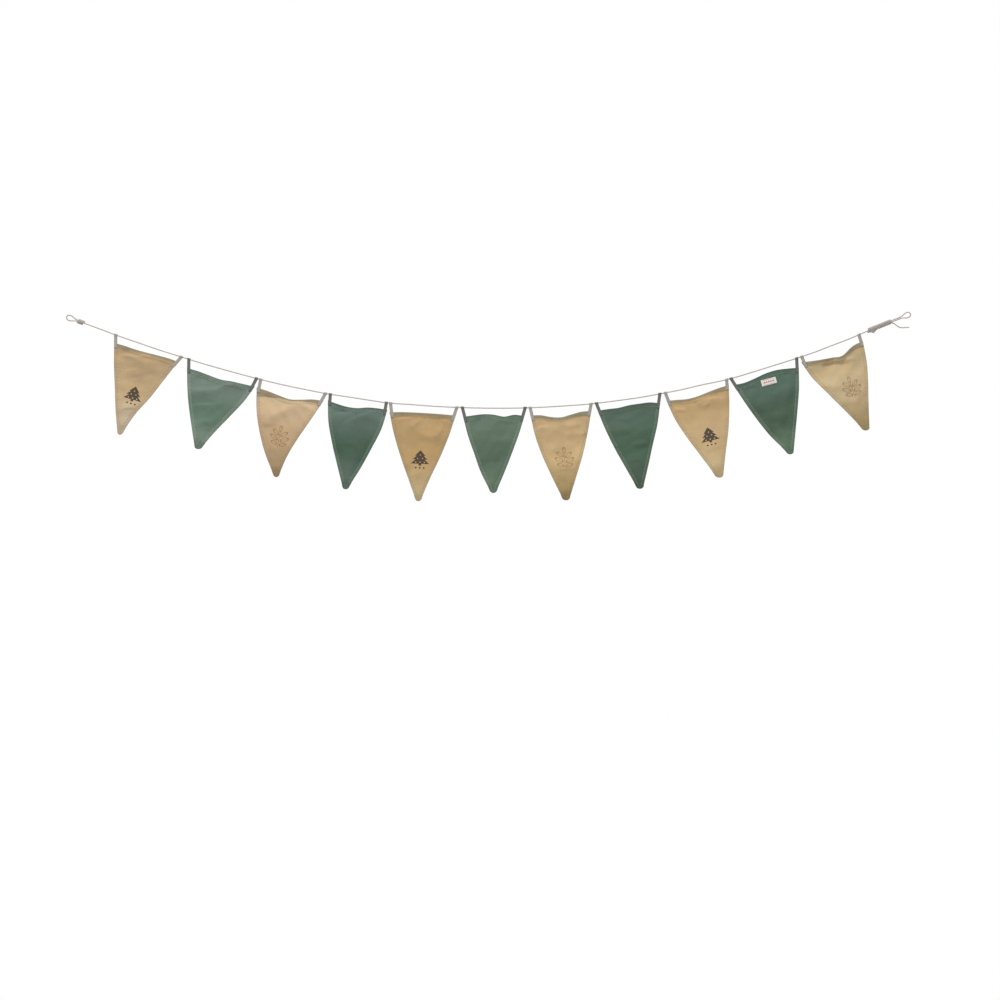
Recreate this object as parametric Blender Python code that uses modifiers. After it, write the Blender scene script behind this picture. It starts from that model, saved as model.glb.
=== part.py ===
"""Fabric bunting hanging in a shallow curve: eleven hemmed pennants on tape loops along one cord.

The tables are in millimetres, measured from the point on which the left eye bears: x runs along
the row to the right, z is up, and y is depth, negative towards the viewer.
"""

import math
from collections import namedtuple

import bmesh
import bpy
from mathutils import Vector

MM = 0.001

# Cloth, tape and label
CLOTH_THICKNESS = 1.6
CLOTH_COLUMNS = 10
CLOTH_ROWS = 16
TIP_ROUND = 8.0
TIP_ROUND_FADE = 20
TOP_WAVE_FADE = 3
SEWN_FLAT_RADIUS = 34.0
SEWN_SOFT_RADIUS = 85.0
TAPE_THICKNESS = 1.0
TAPE_WIDTH = 9.6
TAPE_SEWN_LENGTH = 15.0
TAPE_PINCH = 6.0
TAPE_ARC_STEPS = 6
LABEL_SIZE = (46.0, 19.0)
LABEL_CENTRE = (2104.0, -194.0)
LABEL_TILT = math.radians(15.0)
LABEL_THICKNESS = 1.0
LABEL_PENNANT = 10
CLEARANCE = 0.35
LOOP_SLACK = 0.1

# Cord, wrapped knots and eyes
CORD_DIAMETER = 4.0
CORD_STRAND_OFFSET = 2.2
LINE_POINTS = 46
LEFT_EYE_POINTS = 12
RIGHT_EYE_POINTS = 15
TAIL_POINTS = 7
SMOOTH_STEPS = 24
KNOT_HEIGHT = 16.6
KNOT_DEPTH = 12.4
KNOT_PITCH = 4.4
KNOT_GROOVE = 0.9
LEFT_KNOT_START = (29.3, -11.0)
LEFT_KNOT_END = (49.0, -18.2)
RIGHT_KNOT_START = (2401.5, -41.0)
RIGHT_KNOT_END = (2472.0, -13.0)
RIGHT_KNOT_SWELL = 2.6
KNOT_SWELL_AT = 14.5
KNOT_SWELL_REACH = 7.0
KNOT_TAPER = 3.0
KNOT_TAPER_REACH = 5.0
LEFT_EYE_NECK = 3.0
RIGHT_EYE_NECK = 30.0

# Route of the line from the left knot to the right one, chosen by hand: (x, z)
LINE_ROUTE = (
    (99.0, -36.5), (144.0, -53.5), (219.0, -79.5), (279.0, -100.0), (341.0, -119.5),
    (414.0, -142.0), (490.0, -163.5), (568.0, -184.5), (640.0, -202.0), (699.0, -214.5),
    (775.0, -229.5), (834.0, -238.5), (909.0, -250.0), (960.0, -257.5), (1029.0, -262.5),
    (1089.0, -267.0), (1168.0, -271.0), (1240.0, -273.0), (1300.0, -273.5), (1373.0, -272.5),
    (1434.0, -270.0), (1509.0, -265.5), (1571.0, -260.5), (1644.0, -251.5), (1719.0, -241.0),
    (1777.0, -230.5), (1839.0, -218.5), (1899.0, -204.5), (1979.0, -187.5), (2040.0, -170.0),
    (2109.0, -148.5), (2187.0, -124.0), (2244.0, -104.5), (2289.0, -87.0), (2334.0, -70.0),
    (2375.0, -53.0),
)

# Half of an eye's outline, from its root to its far end: (along, across)
EYE_OUTLINE = ((0.0, 2.2), (8.0, 4.4), (16.0, 7.4), (24.0, 7.6), (29.0, 4.6), (30.5, 0.0))

# Free end that leaves the right knot below its two strands: (along, across)
TAIL_ROUTE = (
    (0.4, -6.8), (4.0, -8.6), (8.0, -15.0), (14.0, -24.0), (23.0, -29.8), (33.0, -32.8), (43.0, -36.0)
)

# One row for each pennant. left, right: its top corners. tip: the middle of its blunt tip.
# top_dip: how far the top edge lies below its chord at each sixth of its length.
# left_bow, right_bow: how far each side lies to the right of its chord at each quarter.
# loops: where its two loops ride on the line. billow: belly towards the viewer. swing: the tip's.
Pennant = namedtuple(
    "Pennant", "cloth left right tip tip_width top_dip left_bow right_bow loops billow swing"
)
PENNANTS = (
    Pennant("tan", (140.0, -77.5), (332.0, -134.5), (158.0, -345.5), 16.0,
            (-0.5, 1.0, 0.5, -1.0, -2.0), (-3.0, -3.0, -3.0), (0.0, 0.5, -5.0),
            (144.5, 341.5), 5.0, 3.0),
    Pennant("green", (358.5, -153.0), (562.0, -208.5), (392.5, -388.5), 23.0,
            (0.5, 4.0, 7.0, 3.5, 2.0), (-4.5, -5.5, -3.0), (6.5, 4.0, 0.0),
            (364.0, 567.0), 4.0, -2.0),
    Pennant("tan", (567.5, -211.5), (768.0, -251.5), (626.5, -472.5), 17.0,
            (4.0, 10.5, 15.5, 10.0, 2.5), (-13.0, -17.0, -13.0), (-4.0, -9.0, -9.0),
            (579.5, 774.0), 6.0, 4.0),
    Pennant("green", (781.0, -250.5), (959.5, -278.5), (834.5, -509.0), 19.0,
            (6.0, 10.0, 9.0, 2.5, 0.0), (-9.0, -9.0, -5.0), (11.0, 10.5, 7.5),
            (788.5, 956.5), 7.0, -4.0),
    Pennant("tan", (966.0, -286.0), (1164.5, -295.5), (1052.5, -544.5), 18.0,
            (-2.5, -3.0, -3.0, -2.5, -1.5), (-6.0, -6.5, -3.5), (5.0, 5.0, 1.0),
            (969.0, 1168.0), 4.0, 2.0),
    Pennant("green", (1187.0, -299.5), (1371.0, -297.0), (1277.5, -520.0), 20.5,
            (-4.0, -7.0, -5.0, 1.0, -4.0), (-6.0, -7.0, -7.5), (3.5, 4.0, 3.0),
            (1184.5, 1373.0), 5.0, 3.0),
    Pennant("tan", (1389.0, -295.5), (1571.5, -281.5), (1495.5, -542.0), 22.5,
            (1.5, 9.0, 12.5, 6.5, 0.5), (-9.5, -11.0, -6.5), (5.0, 7.0, 4.0),
            (1388.0, 1571.0), 6.0, -3.0),
    Pennant("green", (1590.5, -281.0), (1778.0, -258.5), (1717.0, -507.5), 22.0,
            (-1.0, -1.0, -5.0, -6.0, -6.0), (-5.5, -6.5, -3.5), (4.5, 3.0, 2.0),
            (1586.5, 1777.0), 5.0, 2.0),
    Pennant("tan", (1797.0, -251.5), (1984.0, -204.0), (1955.0, -474.0), 24.5,
            (5.0, 10.5, 10.0, 5.5, 1.5), (-10.5, -10.5, -5.0), (5.5, 7.0, 3.0),
            (1793.5, 1977.5), 4.0, 4.0),
    Pennant("green", (1998.0, -204.0), (2194.0, -152.0), (2168.0, -404.0), 21.0,
            (2.0, -3.0, -9.5, -10.5, -6.0), (-7.5, -11.5, -11.5), (4.5, 4.0, 2.0),
            (1990.5, 2187.5), 5.0, -3.0),
    Pennant("tan", (2201.0, -136.0), (2386.0, -72.0), (2394.0, -332.5), 23.5,
            (7.0, 13.0, 18.0, 22.5, 5.0), (-9.5, -6.0, -1.5), (7.0, 6.0, 2.5),
            (2202.5, 2374.5), 6.0, 3.0),
)

# Broad folds of the cloth. rise: height towards the viewer; reach: how far each side it fades.
Fold = namedtuple("Fold", "pennant start end rise reach")
FOLDS = (
    Fold(1, (153.0, -130.0), (288.0, -151.0), 5.0, 26.0),
    Fold(1, (159.0, -274.0), (213.0, -265.0), 3.0, 20.0),
    Fold(2, (369.0, -226.0), (495.0, -196.0), 6.0, 22.0),
    Fold(2, (387.0, -325.0), (447.0, -310.0), 3.0, 20.0),
    Fold(3, (579.0, -286.0), (699.0, -256.0), 6.0, 22.0),
    Fold(3, (579.0, -322.0), (663.0, -310.0), -4.0, 20.0),
    Fold(4, (789.0, -304.0), (915.0, -280.0), 6.0, 20.0),
    Fold(4, (834.0, -415.0), (924.0, -325.0), -4.0, 32.0),
    Fold(5, (984.0, -316.0), (1119.0, -352.0), 5.0, 22.0),
    Fold(5, (1023.0, -436.0), (1089.0, -460.0), 3.0, 22.0),
    Fold(6, (1203.0, -328.0), (1299.0, -313.0), 4.0, 20.0),
    Fold(6, (1323.0, -322.0), (1293.0, -424.0), -4.0, 26.0),
    Fold(7, (1413.0, -346.0), (1539.0, -322.0), 4.0, 22.0),
    Fold(7, (1479.0, -418.0), (1551.0, -370.0), -4.0, 24.0),
    Fold(8, (1605.0, -310.0), (1719.0, -334.0), 4.0, 22.0),
    Fold(8, (1665.0, -406.0), (1755.0, -376.0), -4.0, 26.0),
    Fold(9, (1815.0, -280.0), (1953.0, -241.0), 5.0, 20.0),
    Fold(9, (1851.0, -334.0), (1923.0, -274.0), -4.0, 20.0),
    Fold(10, (2025.0, -232.0), (2169.0, -208.0), 5.0, 24.0),
    Fold(10, (2073.0, -304.0), (2169.0, -256.0), -5.0, 30.0),
    Fold(11, (2235.0, -154.0), (2328.0, -148.0), -6.0, 20.0),
    Fold(11, (2274.0, -208.0), (2385.0, -166.0), 5.0, 26.0),
)

# Surface of each material: colour as seen (red, green, blue out of 255) and roughness
SURFACES = {
    "tan cloth": ((192, 164, 124), 0.92),
    "green cloth": ((84, 103, 88), 0.92),
    "grey tape": ((112, 114, 108), 0.9),
    "beige tape": ((158, 152, 138), 0.9),
    "cord": ((176, 167, 157), 0.85),
    "label": ((222, 222, 216), 0.8),
}


def clear_scene():
    for item in list(bpy.data.objects):
        bpy.data.objects.remove(item, do_unlink=True)


def parts_collection():
    collection = bpy.data.collections.new("Fabric bunting")
    bpy.context.scene.collection.children.link(collection)
    return collection


def linear(value):
    """Linear light of a colour value seen on screen, from 0 to 255."""
    share = value / 255.0
    return share / 12.92 if share <= 0.04045 else ((share + 0.055) / 1.055) ** 2.4


def surface_material(owner, surface):
    """A Principled material of the object's own."""
    colour, roughness = SURFACES[surface]
    material = bpy.data.materials.new(f"{owner} {surface}")
    material.use_nodes = True
    shader = material.node_tree.nodes["Principled BSDF"]
    shader.inputs["Base Color"].default_value = (*map(linear, colour), 1.0)
    shader.inputs["Roughness"].default_value = roughness
    shader.inputs["Metallic"].default_value = 0.0
    return material


def add_object(collection, name, data, surface):
    made = bpy.data.objects.new(name, data)
    data.materials.append(surface_material(name, surface))
    collection.objects.link(made)
    return made


def between(start, end, share):
    return tuple(a + (b - a) * share for a, b in zip(start, end))


def smooth_value(before, start, end, after, share):
    """Catmull-Rom value between start and end."""
    return 0.5 * (
        2 * start
        + (end - before) * share
        + (2 * before - 5 * start + 4 * end - after) * share**2
        + (3 * start - before - 3 * end + after) * share**3
    )


def wave(heights, share):
    """A smooth curve that is 0 at both ends and passes through evenly spaced heights between."""
    values = (0.0, 0.0, *heights, 0.0, 0.0)
    spans = len(heights) + 1
    span = min(int(share * spans), spans - 1)
    if span == 0:
        values = (-heights[0], *values[1:])
    if span == spans - 1:
        values = (*values[:-1], -heights[-1])
    return smooth_value(*values[span : span + 4], share * spans - span)


def smooth_route(points, count):
    """Evenly spaced points on the smooth curve through the given ones."""
    knots = [Vector(point) for point in points]
    knots = [knots[0] * 2 - knots[1], *knots, knots[-1] * 2 - knots[-2]]
    dense = []
    for before, start, end, after in zip(knots, knots[1:], knots[2:], knots[3:]):
        dense += [
            smooth_value(before, start, end, after, step / SMOOTH_STEPS) for step in range(SMOOTH_STEPS)
        ]
    dense.append(knots[-2])
    travelled = [0.0]
    for start, end in zip(dense, dense[1:]):
        travelled.append(travelled[-1] + (end - start).length)
    route = []
    at = 0
    for index in range(count):
        wanted = travelled[-1] * index / (count - 1)
        while at < len(dense) - 2 and travelled[at + 1] < wanted:
            at += 1
        share = (wanted - travelled[at]) / (travelled[at + 1] - travelled[at])
        route.append(dense[at].lerp(dense[at + 1], share))
    return route


def mapped_sheet(collection, name, surface, columns, rows, place, thickness):
    """A grid whose points go to place(across, down), both from 0 to 1, made solid about its middle."""
    mesh = bpy.data.meshes.new(name)
    shape = bmesh.new()
    bmesh.ops.create_grid(shape, x_segments=columns, y_segments=rows, size=0.5)
    for vertex in shape.verts:
        vertex.co = Vector(place(vertex.co.x + 0.5, 0.5 - vertex.co.y)) * MM
    shape.to_mesh(mesh)
    shape.free()
    mesh.shade_smooth()
    sheet = add_object(collection, name, mesh, surface)
    solid = sheet.modifiers.new("Thickness", "SOLIDIFY")
    solid.thickness = thickness * MM
    solid.offset = 0.0
    return sheet


def edge_point(pennant, side, down):
    """Where a side edge runs, down from its top corner (0) to the blunt tip (1)."""
    corner = pennant.left if side < 0 else pennant.right
    bow = pennant.left_bow if side < 0 else pennant.right_bow
    end = (pennant.tip[0] + side * pennant.tip_width / 2, pennant.tip[1])
    x, z = between(corner, end, down)
    return x + wave(bow, down), z


def outline_point(pennant, across, down):
    """Where a point of the cloth lies in the plane of the row."""
    left = edge_point(pennant, -1, down)
    right = edge_point(pennant, 1, down)
    x, z = between(left, right, across)
    dip = wave(pennant.top_dip, across) * (1 - down) ** TOP_WAVE_FADE
    tip = TIP_ROUND * math.sqrt(max(0.0, 1 - (2 * across - 1) ** 2)) * down**TIP_ROUND_FADE
    return x, z - dip - tip


def flat_spots(pennant):
    """Where sewing holds the cloth flat: its top corners, and the label's place."""
    spots = [pennant.left, pennant.right]
    if pennant is PENNANTS[LABEL_PENNANT - 1]:
        spots.append(LABEL_CENTRE)
    return spots


def softness(pennant, x, z):
    """0 where sewing holds the cloth flat, 1 away from it."""
    away = min(math.dist((x, z), spot) for spot in flat_spots(pennant))
    share = (away - SEWN_FLAT_RADIUS) / (SEWN_SOFT_RADIUS - SEWN_FLAT_RADIUS)
    share = min(max(share, 0.0), 1.0)
    return share * share * (3 - 2 * share)


def fold_rise(fold, x, z):
    """How far a fold lifts the cloth towards the viewer."""
    start, end, point = Vector(fold.start), Vector(fold.end), Vector((x, z))
    run = end - start
    share = min(max((point - start).dot(run) / run.length_squared, 0.0), 1.0)
    away = (point - start - run * share).length
    return fold.rise * math.exp(-((away / fold.reach) ** 2))


def depth(number, x, z):
    """Depth of the middle of the cloth: belly, swing of the tip and folds."""
    pennant = PENNANTS[number - 1]
    top = between(pennant.left, pennant.right, 0.5)
    down = min(max((top[1] - z) / (top[1] - pennant.tip[1]), 0.0), 1.0)
    middle = between(top, pennant.tip, down)[0]
    half = between((pennant.right[0] - top[0],), (pennant.tip_width / 2,), down)[0]
    across = min(abs(x - middle) / half, 1.0)
    belly = pennant.billow * (1 - across**2) * math.sin(math.pi * down)
    rise = belly + pennant.swing * down**2
    rise += sum(fold_rise(fold, x, z) for fold in FOLDS if fold.pennant == number)
    return -rise * softness(pennant, x, z)


def make_pennant(collection, number):
    pennant = PENNANTS[number - 1]

    def place(across, down):
        x, z = outline_point(pennant, across, down)
        return x, depth(number, x, z), z

    mapped_sheet(collection, f"pennant_{number:02d}", f"{pennant.cloth} cloth", CLOTH_COLUMNS, CLOTH_ROWS,
                 place, CLOTH_THICKNESS)


def line_at(route, x):
    """Point and direction of the line at x."""
    for start, end in zip(route, route[1:]):
        if end.x >= x:
            break
    share = (x - start.x) / (end.x - start.x)
    return start.lerp(end, share), (end - start).normalized()


def loop_profile(length):
    """A loop's section from the front's sewn end over the cord to the back's: (down, up, depth)."""
    over = CORD_DIAMETER / 2 + CLEARANCE + TAPE_THICKNESS / 2 + LOOP_SLACK
    flat = (CLOTH_THICKNESS + TAPE_THICKNESS) / 2 + CLEARANCE
    front = [(length, 0.0, -flat), (length - TAPE_SEWN_LENGTH, 0.0, -flat), (TAPE_PINCH, 0.0, -flat)]
    angles = [math.pi * step / TAPE_ARC_STEPS for step in range(TAPE_ARC_STEPS + 1)]
    arc = [(0.0, over * math.sin(angle), -over * math.cos(angle)) for angle in angles]
    return front + arc + [(down, up, -y) for down, up, y in reversed(front)]


def make_loop(collection, number, side, route):
    """A tape folded over the line, its ends sewn to the front and the back of the cloth's corner."""
    pennant = PENNANTS[number - 1]
    hold, along = line_at(route, pennant.loops[0 if side < 0 else 1])
    corner_z = (pennant.left if side < 0 else pennant.right)[1]
    edge_length = abs(corner_z - pennant.tip[1])
    edge = Vector(edge_point(pennant, side, TAPE_SEWN_LENGTH / edge_length))
    leg = Vector((edge.x - side * TAPE_WIDTH / 2, edge.y)) - hold
    down = leg.normalized()
    up = Vector((-along.y, along.x))
    width = TAPE_WIDTH / abs(down.cross(along))
    profile = loop_profile(leg.length)

    def place(across, share):
        below, above, y = profile[round(share * (len(profile) - 1))]
        spot = hold + down * below + up * above + along * (across - 0.5) * width
        return spot.x, y, spot.y

    name = f"loop_{number:02d}_{'left' if side < 0 else 'right'}"
    surface = "grey tape" if pennant.cloth == "green" else "beige tape"
    mapped_sheet(collection, name, surface, 1, len(profile) - 1, place, TAPE_THICKNESS)


def make_label(collection):
    """A woven label sewn to the face of the cloth just under its top hem."""
    along = Vector((math.cos(LABEL_TILT), math.sin(LABEL_TILT)))
    down = Vector((along.y, -along.x))
    front = (CLOTH_THICKNESS + LABEL_THICKNESS) / 2 + CLEARANCE

    def place(across, share):
        spot = Vector(LABEL_CENTRE) + along * (across - 0.5) * LABEL_SIZE[0]
        spot += down * (share - 0.5) * LABEL_SIZE[1]
        return spot.x, depth(LABEL_PENNANT, spot.x, spot.y) - front, spot.y

    mapped_sheet(collection, "woven_label", "label", 4, 2, place, LABEL_THICKNESS)


def make_tube(collection, name, points):
    """A plain cord along the points, given as (x, z)."""
    curve = bpy.data.curves.new(name, "CURVE")
    curve.dimensions = "3D"
    curve.bevel_depth = CORD_DIAMETER / 2 * MM
    curve.bevel_resolution = 2
    curve.use_fill_caps = True
    spline = curve.splines.new("POLY")
    spline.points.add(len(points) - 1)
    for place, point in zip(spline.points, points):
        place.co = (point[0] * MM, 0.0, point[1] * MM, 1.0)
    return add_object(collection, name, curve, "cord")


def knot_axis(start, end):
    """Unit vectors along a knot and across it, upwards."""
    along = (Vector(end) - Vector(start)).normalized()
    return along, Vector((-along.y, along.x))


def make_knot(collection, name, start, end, swell=0.0):
    """The outer form of a cord wound round its own two strands, with a swell where the turns begin."""
    length = (Vector(end) - Vector(start)).length
    along, _ = knot_axis(start, end)
    rings = 2 * round(length / KNOT_PITCH) + 1
    curve = bpy.data.curves.new(name, "CURVE")
    curve.dimensions = "3D"
    curve.bevel_depth = KNOT_HEIGHT / 2 * MM
    curve.bevel_resolution = 4
    curve.use_fill_caps = True
    spline = curve.splines.new("POLY")
    spline.points.add(rings - 1)
    for index, point in enumerate(spline.points):
        travelled = length * index / (rings - 1)
        lump = swell * math.exp(-(((travelled - KNOT_SWELL_AT) / KNOT_SWELL_REACH) ** 2))
        narrowing = KNOT_TAPER * math.exp(-travelled / KNOT_TAPER_REACH)
        groove = KNOT_GROOVE if index % 2 == 0 else 0.0
        point.co = (travelled * MM, 0.0, -lump * MM, 1.0)
        point.radius = 1 + (lump - narrowing - groove) / (KNOT_HEIGHT / 2)
    knot = add_object(collection, name, curve, "cord")
    knot.location = (start[0] * MM, 0.0, start[1] * MM)
    knot.rotation_euler = (0.0, -math.atan2(along.y, along.x), 0.0)
    knot.scale = (1.0, KNOT_DEPTH / KNOT_HEIGHT, 1.0)
    return knot


def eye_points(root, along, neck, count):
    """The two strands of an eye and the bight at its far end, both strands starting at its knot."""
    up = Vector((-along.y, along.x))
    half = [(0.0, CORD_STRAND_OFFSET), *((neck + run, across) for run, across in EYE_OUTLINE)]
    outline = half + [(run, -across) for run, across in reversed(half[:-1])]
    return smooth_route([root + along * run + up * across for run, across in outline], count)


def make_line(collection):
    """The straight run of the line between its two knots, each met with a small gap."""
    left_along, _ = knot_axis(LEFT_KNOT_START, LEFT_KNOT_END)
    right_along, _ = knot_axis(RIGHT_KNOT_START, RIGHT_KNOT_END)
    first = Vector(LEFT_KNOT_END) + left_along * CLEARANCE
    last = Vector(RIGHT_KNOT_START) - right_along * CLEARANCE
    route = smooth_route((first, *LINE_ROUTE, last), LINE_POINTS)
    make_tube(collection, "line", route)
    return route


def make_ends(collection):
    """The wrapped knots, their eyes and the free end beside the right one."""
    left_along, _ = knot_axis(LEFT_KNOT_END, LEFT_KNOT_START)
    right_along, right_up = knot_axis(RIGHT_KNOT_START, RIGHT_KNOT_END)
    make_knot(collection, "left_knot", LEFT_KNOT_START, LEFT_KNOT_END)
    make_knot(collection, "right_knot", RIGHT_KNOT_START, RIGHT_KNOT_END, RIGHT_KNOT_SWELL)
    left_root = Vector(LEFT_KNOT_START) + left_along * CLEARANCE
    right_root = Vector(RIGHT_KNOT_END) + right_along * CLEARANCE
    left_eye = eye_points(left_root, left_along, LEFT_EYE_NECK, LEFT_EYE_POINTS)
    right_eye = eye_points(right_root, right_along, RIGHT_EYE_NECK, RIGHT_EYE_POINTS)
    make_tube(collection, "left_eye", left_eye)
    make_tube(collection, "right_eye", right_eye)
    tail = [right_root + right_along * run + right_up * across for run, across in TAIL_ROUTE]
    make_tube(collection, "line_tail", smooth_route(tail, TAIL_POINTS))


def main():
    clear_scene()
    collection = parts_collection()
    route = make_line(collection)
    make_ends(collection)
    for number in range(1, len(PENNANTS) + 1):
        make_pennant(collection, number)
        make_loop(collection, number, -1, route)
        make_loop(collection, number, 1, route)
    make_label(collection)


main()
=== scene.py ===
"""Looks of a fabric bunting: hemmed canvas pennants, their tape loops, a knotted cord, a label.

The tables are in millimetres, measured as in the part from the point on which the left eye bears:
x runs along the row to the right, z is up, and y is depth, negative towards the viewer.
"""

import math
import random
from collections import namedtuple

import bmesh
import bpy
import numpy as np
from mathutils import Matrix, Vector


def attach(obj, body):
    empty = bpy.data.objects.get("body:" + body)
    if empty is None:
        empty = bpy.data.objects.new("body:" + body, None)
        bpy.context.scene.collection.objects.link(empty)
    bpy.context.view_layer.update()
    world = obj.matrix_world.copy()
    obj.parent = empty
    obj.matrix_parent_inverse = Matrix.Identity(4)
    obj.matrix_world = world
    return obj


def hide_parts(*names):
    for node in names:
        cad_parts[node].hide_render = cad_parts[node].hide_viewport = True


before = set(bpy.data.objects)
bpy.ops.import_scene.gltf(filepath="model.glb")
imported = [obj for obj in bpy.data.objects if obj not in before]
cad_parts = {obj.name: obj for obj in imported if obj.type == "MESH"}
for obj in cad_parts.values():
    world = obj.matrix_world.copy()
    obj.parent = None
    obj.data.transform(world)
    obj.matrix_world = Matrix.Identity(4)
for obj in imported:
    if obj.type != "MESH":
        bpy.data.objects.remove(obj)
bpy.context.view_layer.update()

MM = 0.001

# Canvas: one layer in the middle of a pennant, turned hems at its edges
CLOTH_THICKNESS = 0.8
HEM_THICKNESS = 1.9
SIDE_HEM = 10.6
TOP_HEM = 14
SIDE_SEAM = 8.8
TOP_SEAM = 12
SEAM_DIP = 0.5
SEAM_WIDTH = 0.8
HEM_SLOPE = 1
HEM_ROUND = 1.1
RIM_THINNING = 0.8
TIP_ROUND = 8
TIP_ROUND_FADE = 20
TOP_WAVE_FADE = 3

# How far sewing holds the cloth flat about its top corners and about the label: flat, free again
Held = namedtuple("Held", "corner label")
HELD_FOLDS = Held((34, 85), (34, 85))
HELD_CREASES = Held((19, 40), (27, 46))

# Grid of a pennant: steps in from its sides, down from its top and up from its tip, then even ones
SIDE_STEPS = (0, 0.35, 0.9, 2.2, 4.2, 6.2, 7.8, 8.8, 9.6, 10.1, 10.6, 11.6)
TOP_STEPS = (0, 0.35, 0.9, 2.4, 4.6, 7, 9.4, 11, 12, 13, 13.5, 14, 15.2)
TIP_STEPS = (5, 3, 1.8, 0.9, 0.35, 0)
FIELD_COLUMNS = 50
FIELD_ROWS = 104
NARROW_HEM_SHARE = 0.42
CURVE_STEPS = 16

# How far off a slope or a direction is measured
NEARBY = 0.5

# Small unevenness of the cloth, and how much all creases are deepened
CREASE_DEPTH = 1.3
CREASE_ENDING = 0.8
PUCKER_RISE = 0.28
PUCKER_PITCH = 10.5
PUCKER_REACH = 5
PUCKER_PHASE = 2.4
PUCKER_WANDER = 1.3
PUCKER_WANDER_DOWN = 23
PUCKER_WANDER_ALONG = 19
TOP_ROLL = 2.4
TOP_ROLL_REACH = 12
CRUMPLE_SEED = 100
CRUMPLE_WAVES = 6
CRUMPLE_RISE = (0.12, 0.34)
CRUMPLE_LENGTH = (26, 75)

# Seams: how finely they are traced, where the side ones end and how much the top one skips
SEAM_STEPS = 400
SEAM_END = 0.99
SEAM_SKIP = 6

# Thread
STITCH_PITCH = 3.4
STITCH_SIZE = (2.7, 0.8, 0.5)
STITCH_LIFT = 0.06

# Tape and label
TAPE_THICKNESS = 1
TAPE_WIDTH = 9.6
TAPE_SEWN_LENGTH = 15
TAPE_PINCH = 6
TAPE_COLUMNS = 8
TAPE_ARC_STEPS = 14
TAPE_BOX = (6.2, 9.6)
TAPE_BOX_END = 2.4
TAPE_STITCH_PITCH = 2.4
TAPE_STEP = 1.6
TAPE_RIM_SHARE = 0.6
TAPE_RIB = 1.1
LOOP_SLACK = 0.1
LABEL_CELLS = (28, 14)
LABEL_RIPPLE = 0.12
LABEL_RIPPLE_LENGTH = 5
LABEL_SEAM = 1.6
LABEL_SEAM_INSET = 1
LABEL_STITCH_PITCH = 2.9
LABEL_LINE_AT = 7.2
LABEL_LINE_WIDTH = 0.9
LABEL_LINE_SOFTNESS = 0.15
LABEL_WEAVE_PITCH = 0.35
LABEL_DIAMOND = (5, 7)
LABEL_DIAMOND_PITCH = 6.5
LABEL_PATTERN_HALF = 18.5
LABEL_SIZE = (46, 19)
LABEL_CENTRE = (2104, -194)
LABEL_TILT = math.radians(15)
LABEL_THICKNESS = 0.8
LABEL_PENNANT = 10
CLEARANCE = 0.35
SOLID_CLOTH_THICKNESS = 1.6

# Cord, wrapped knots and eyes
CORD_DIAMETER = 4
KNOT_PITCH = 4.25
KNOT_CORE = 2.1
KNOT_TURN_RADII = (6.2, 4.4)
LEFT_KNOT_START = (29.3, -11)
LEFT_KNOT_END = (49, -18.2)
RIGHT_KNOT_START = (2401.5, -41)
RIGHT_KNOT_END = (2472, -13)
RIGHT_KNOT_SWELL = 2.6
KNOT_SWELL_AT = 14.5
KNOT_SWELL_REACH = 7
LEFT_EYE_NECK = 3
RIGHT_EYE_NECK = 30
ROPE_STRANDS = 3
ROPE_LAY = 13
ROPE_SIDES = 12
ROPE_STEP = 1.3
ROPE_GROOVE = 0.24
ROPE_END_DRAW = 0.25
ROPE_END_REACH = CORD_DIAMETER / math.sqrt(8)
ROPE_SMOOTHING = 2
CORD_STRAND_OFFSET = 2.2
KNOT_START = 2.2
KNOT_FIRST_ANGLE = math.pi + 0.5
KNOT_STEPS = 40
KNOT_SWELL_DEPTH = 0.75

# Route of the line from the left knot to the right one: (x, z)
LINE_ROUTE = (
    (99, -36.5), (144, -53.5), (219, -79.5), (279, -100), (341, -119.5),
    (414, -142), (490, -163.5), (568, -184.5), (640, -202), (699, -214.5),
    (775, -229.5), (834, -238.5), (909, -250), (960, -257.5), (1029, -262.5),
    (1089, -267), (1168, -271), (1240, -273), (1300, -273.5), (1373, -272.5),
    (1434, -270), (1509, -265.5), (1571, -260.5), (1644, -251.5), (1719, -241),
    (1777, -230.5), (1839, -218.5), (1899, -204.5), (1979, -187.5), (2040, -170),
    (2109, -148.5), (2187, -124), (2244, -104.5), (2289, -87), (2334, -70),
    (2375, -53),
)
EYE_OUTLINE = ((0, 2.2), (8, 4.4), (16, 7.4), (24, 7.6), (29, 4.6), (30.5, 0))
TAIL_ROUTE = (
    (4, -8.6), (8, -15), (14, -24), (23, -29.8), (33, -32.8), (43, -36)
)

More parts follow.
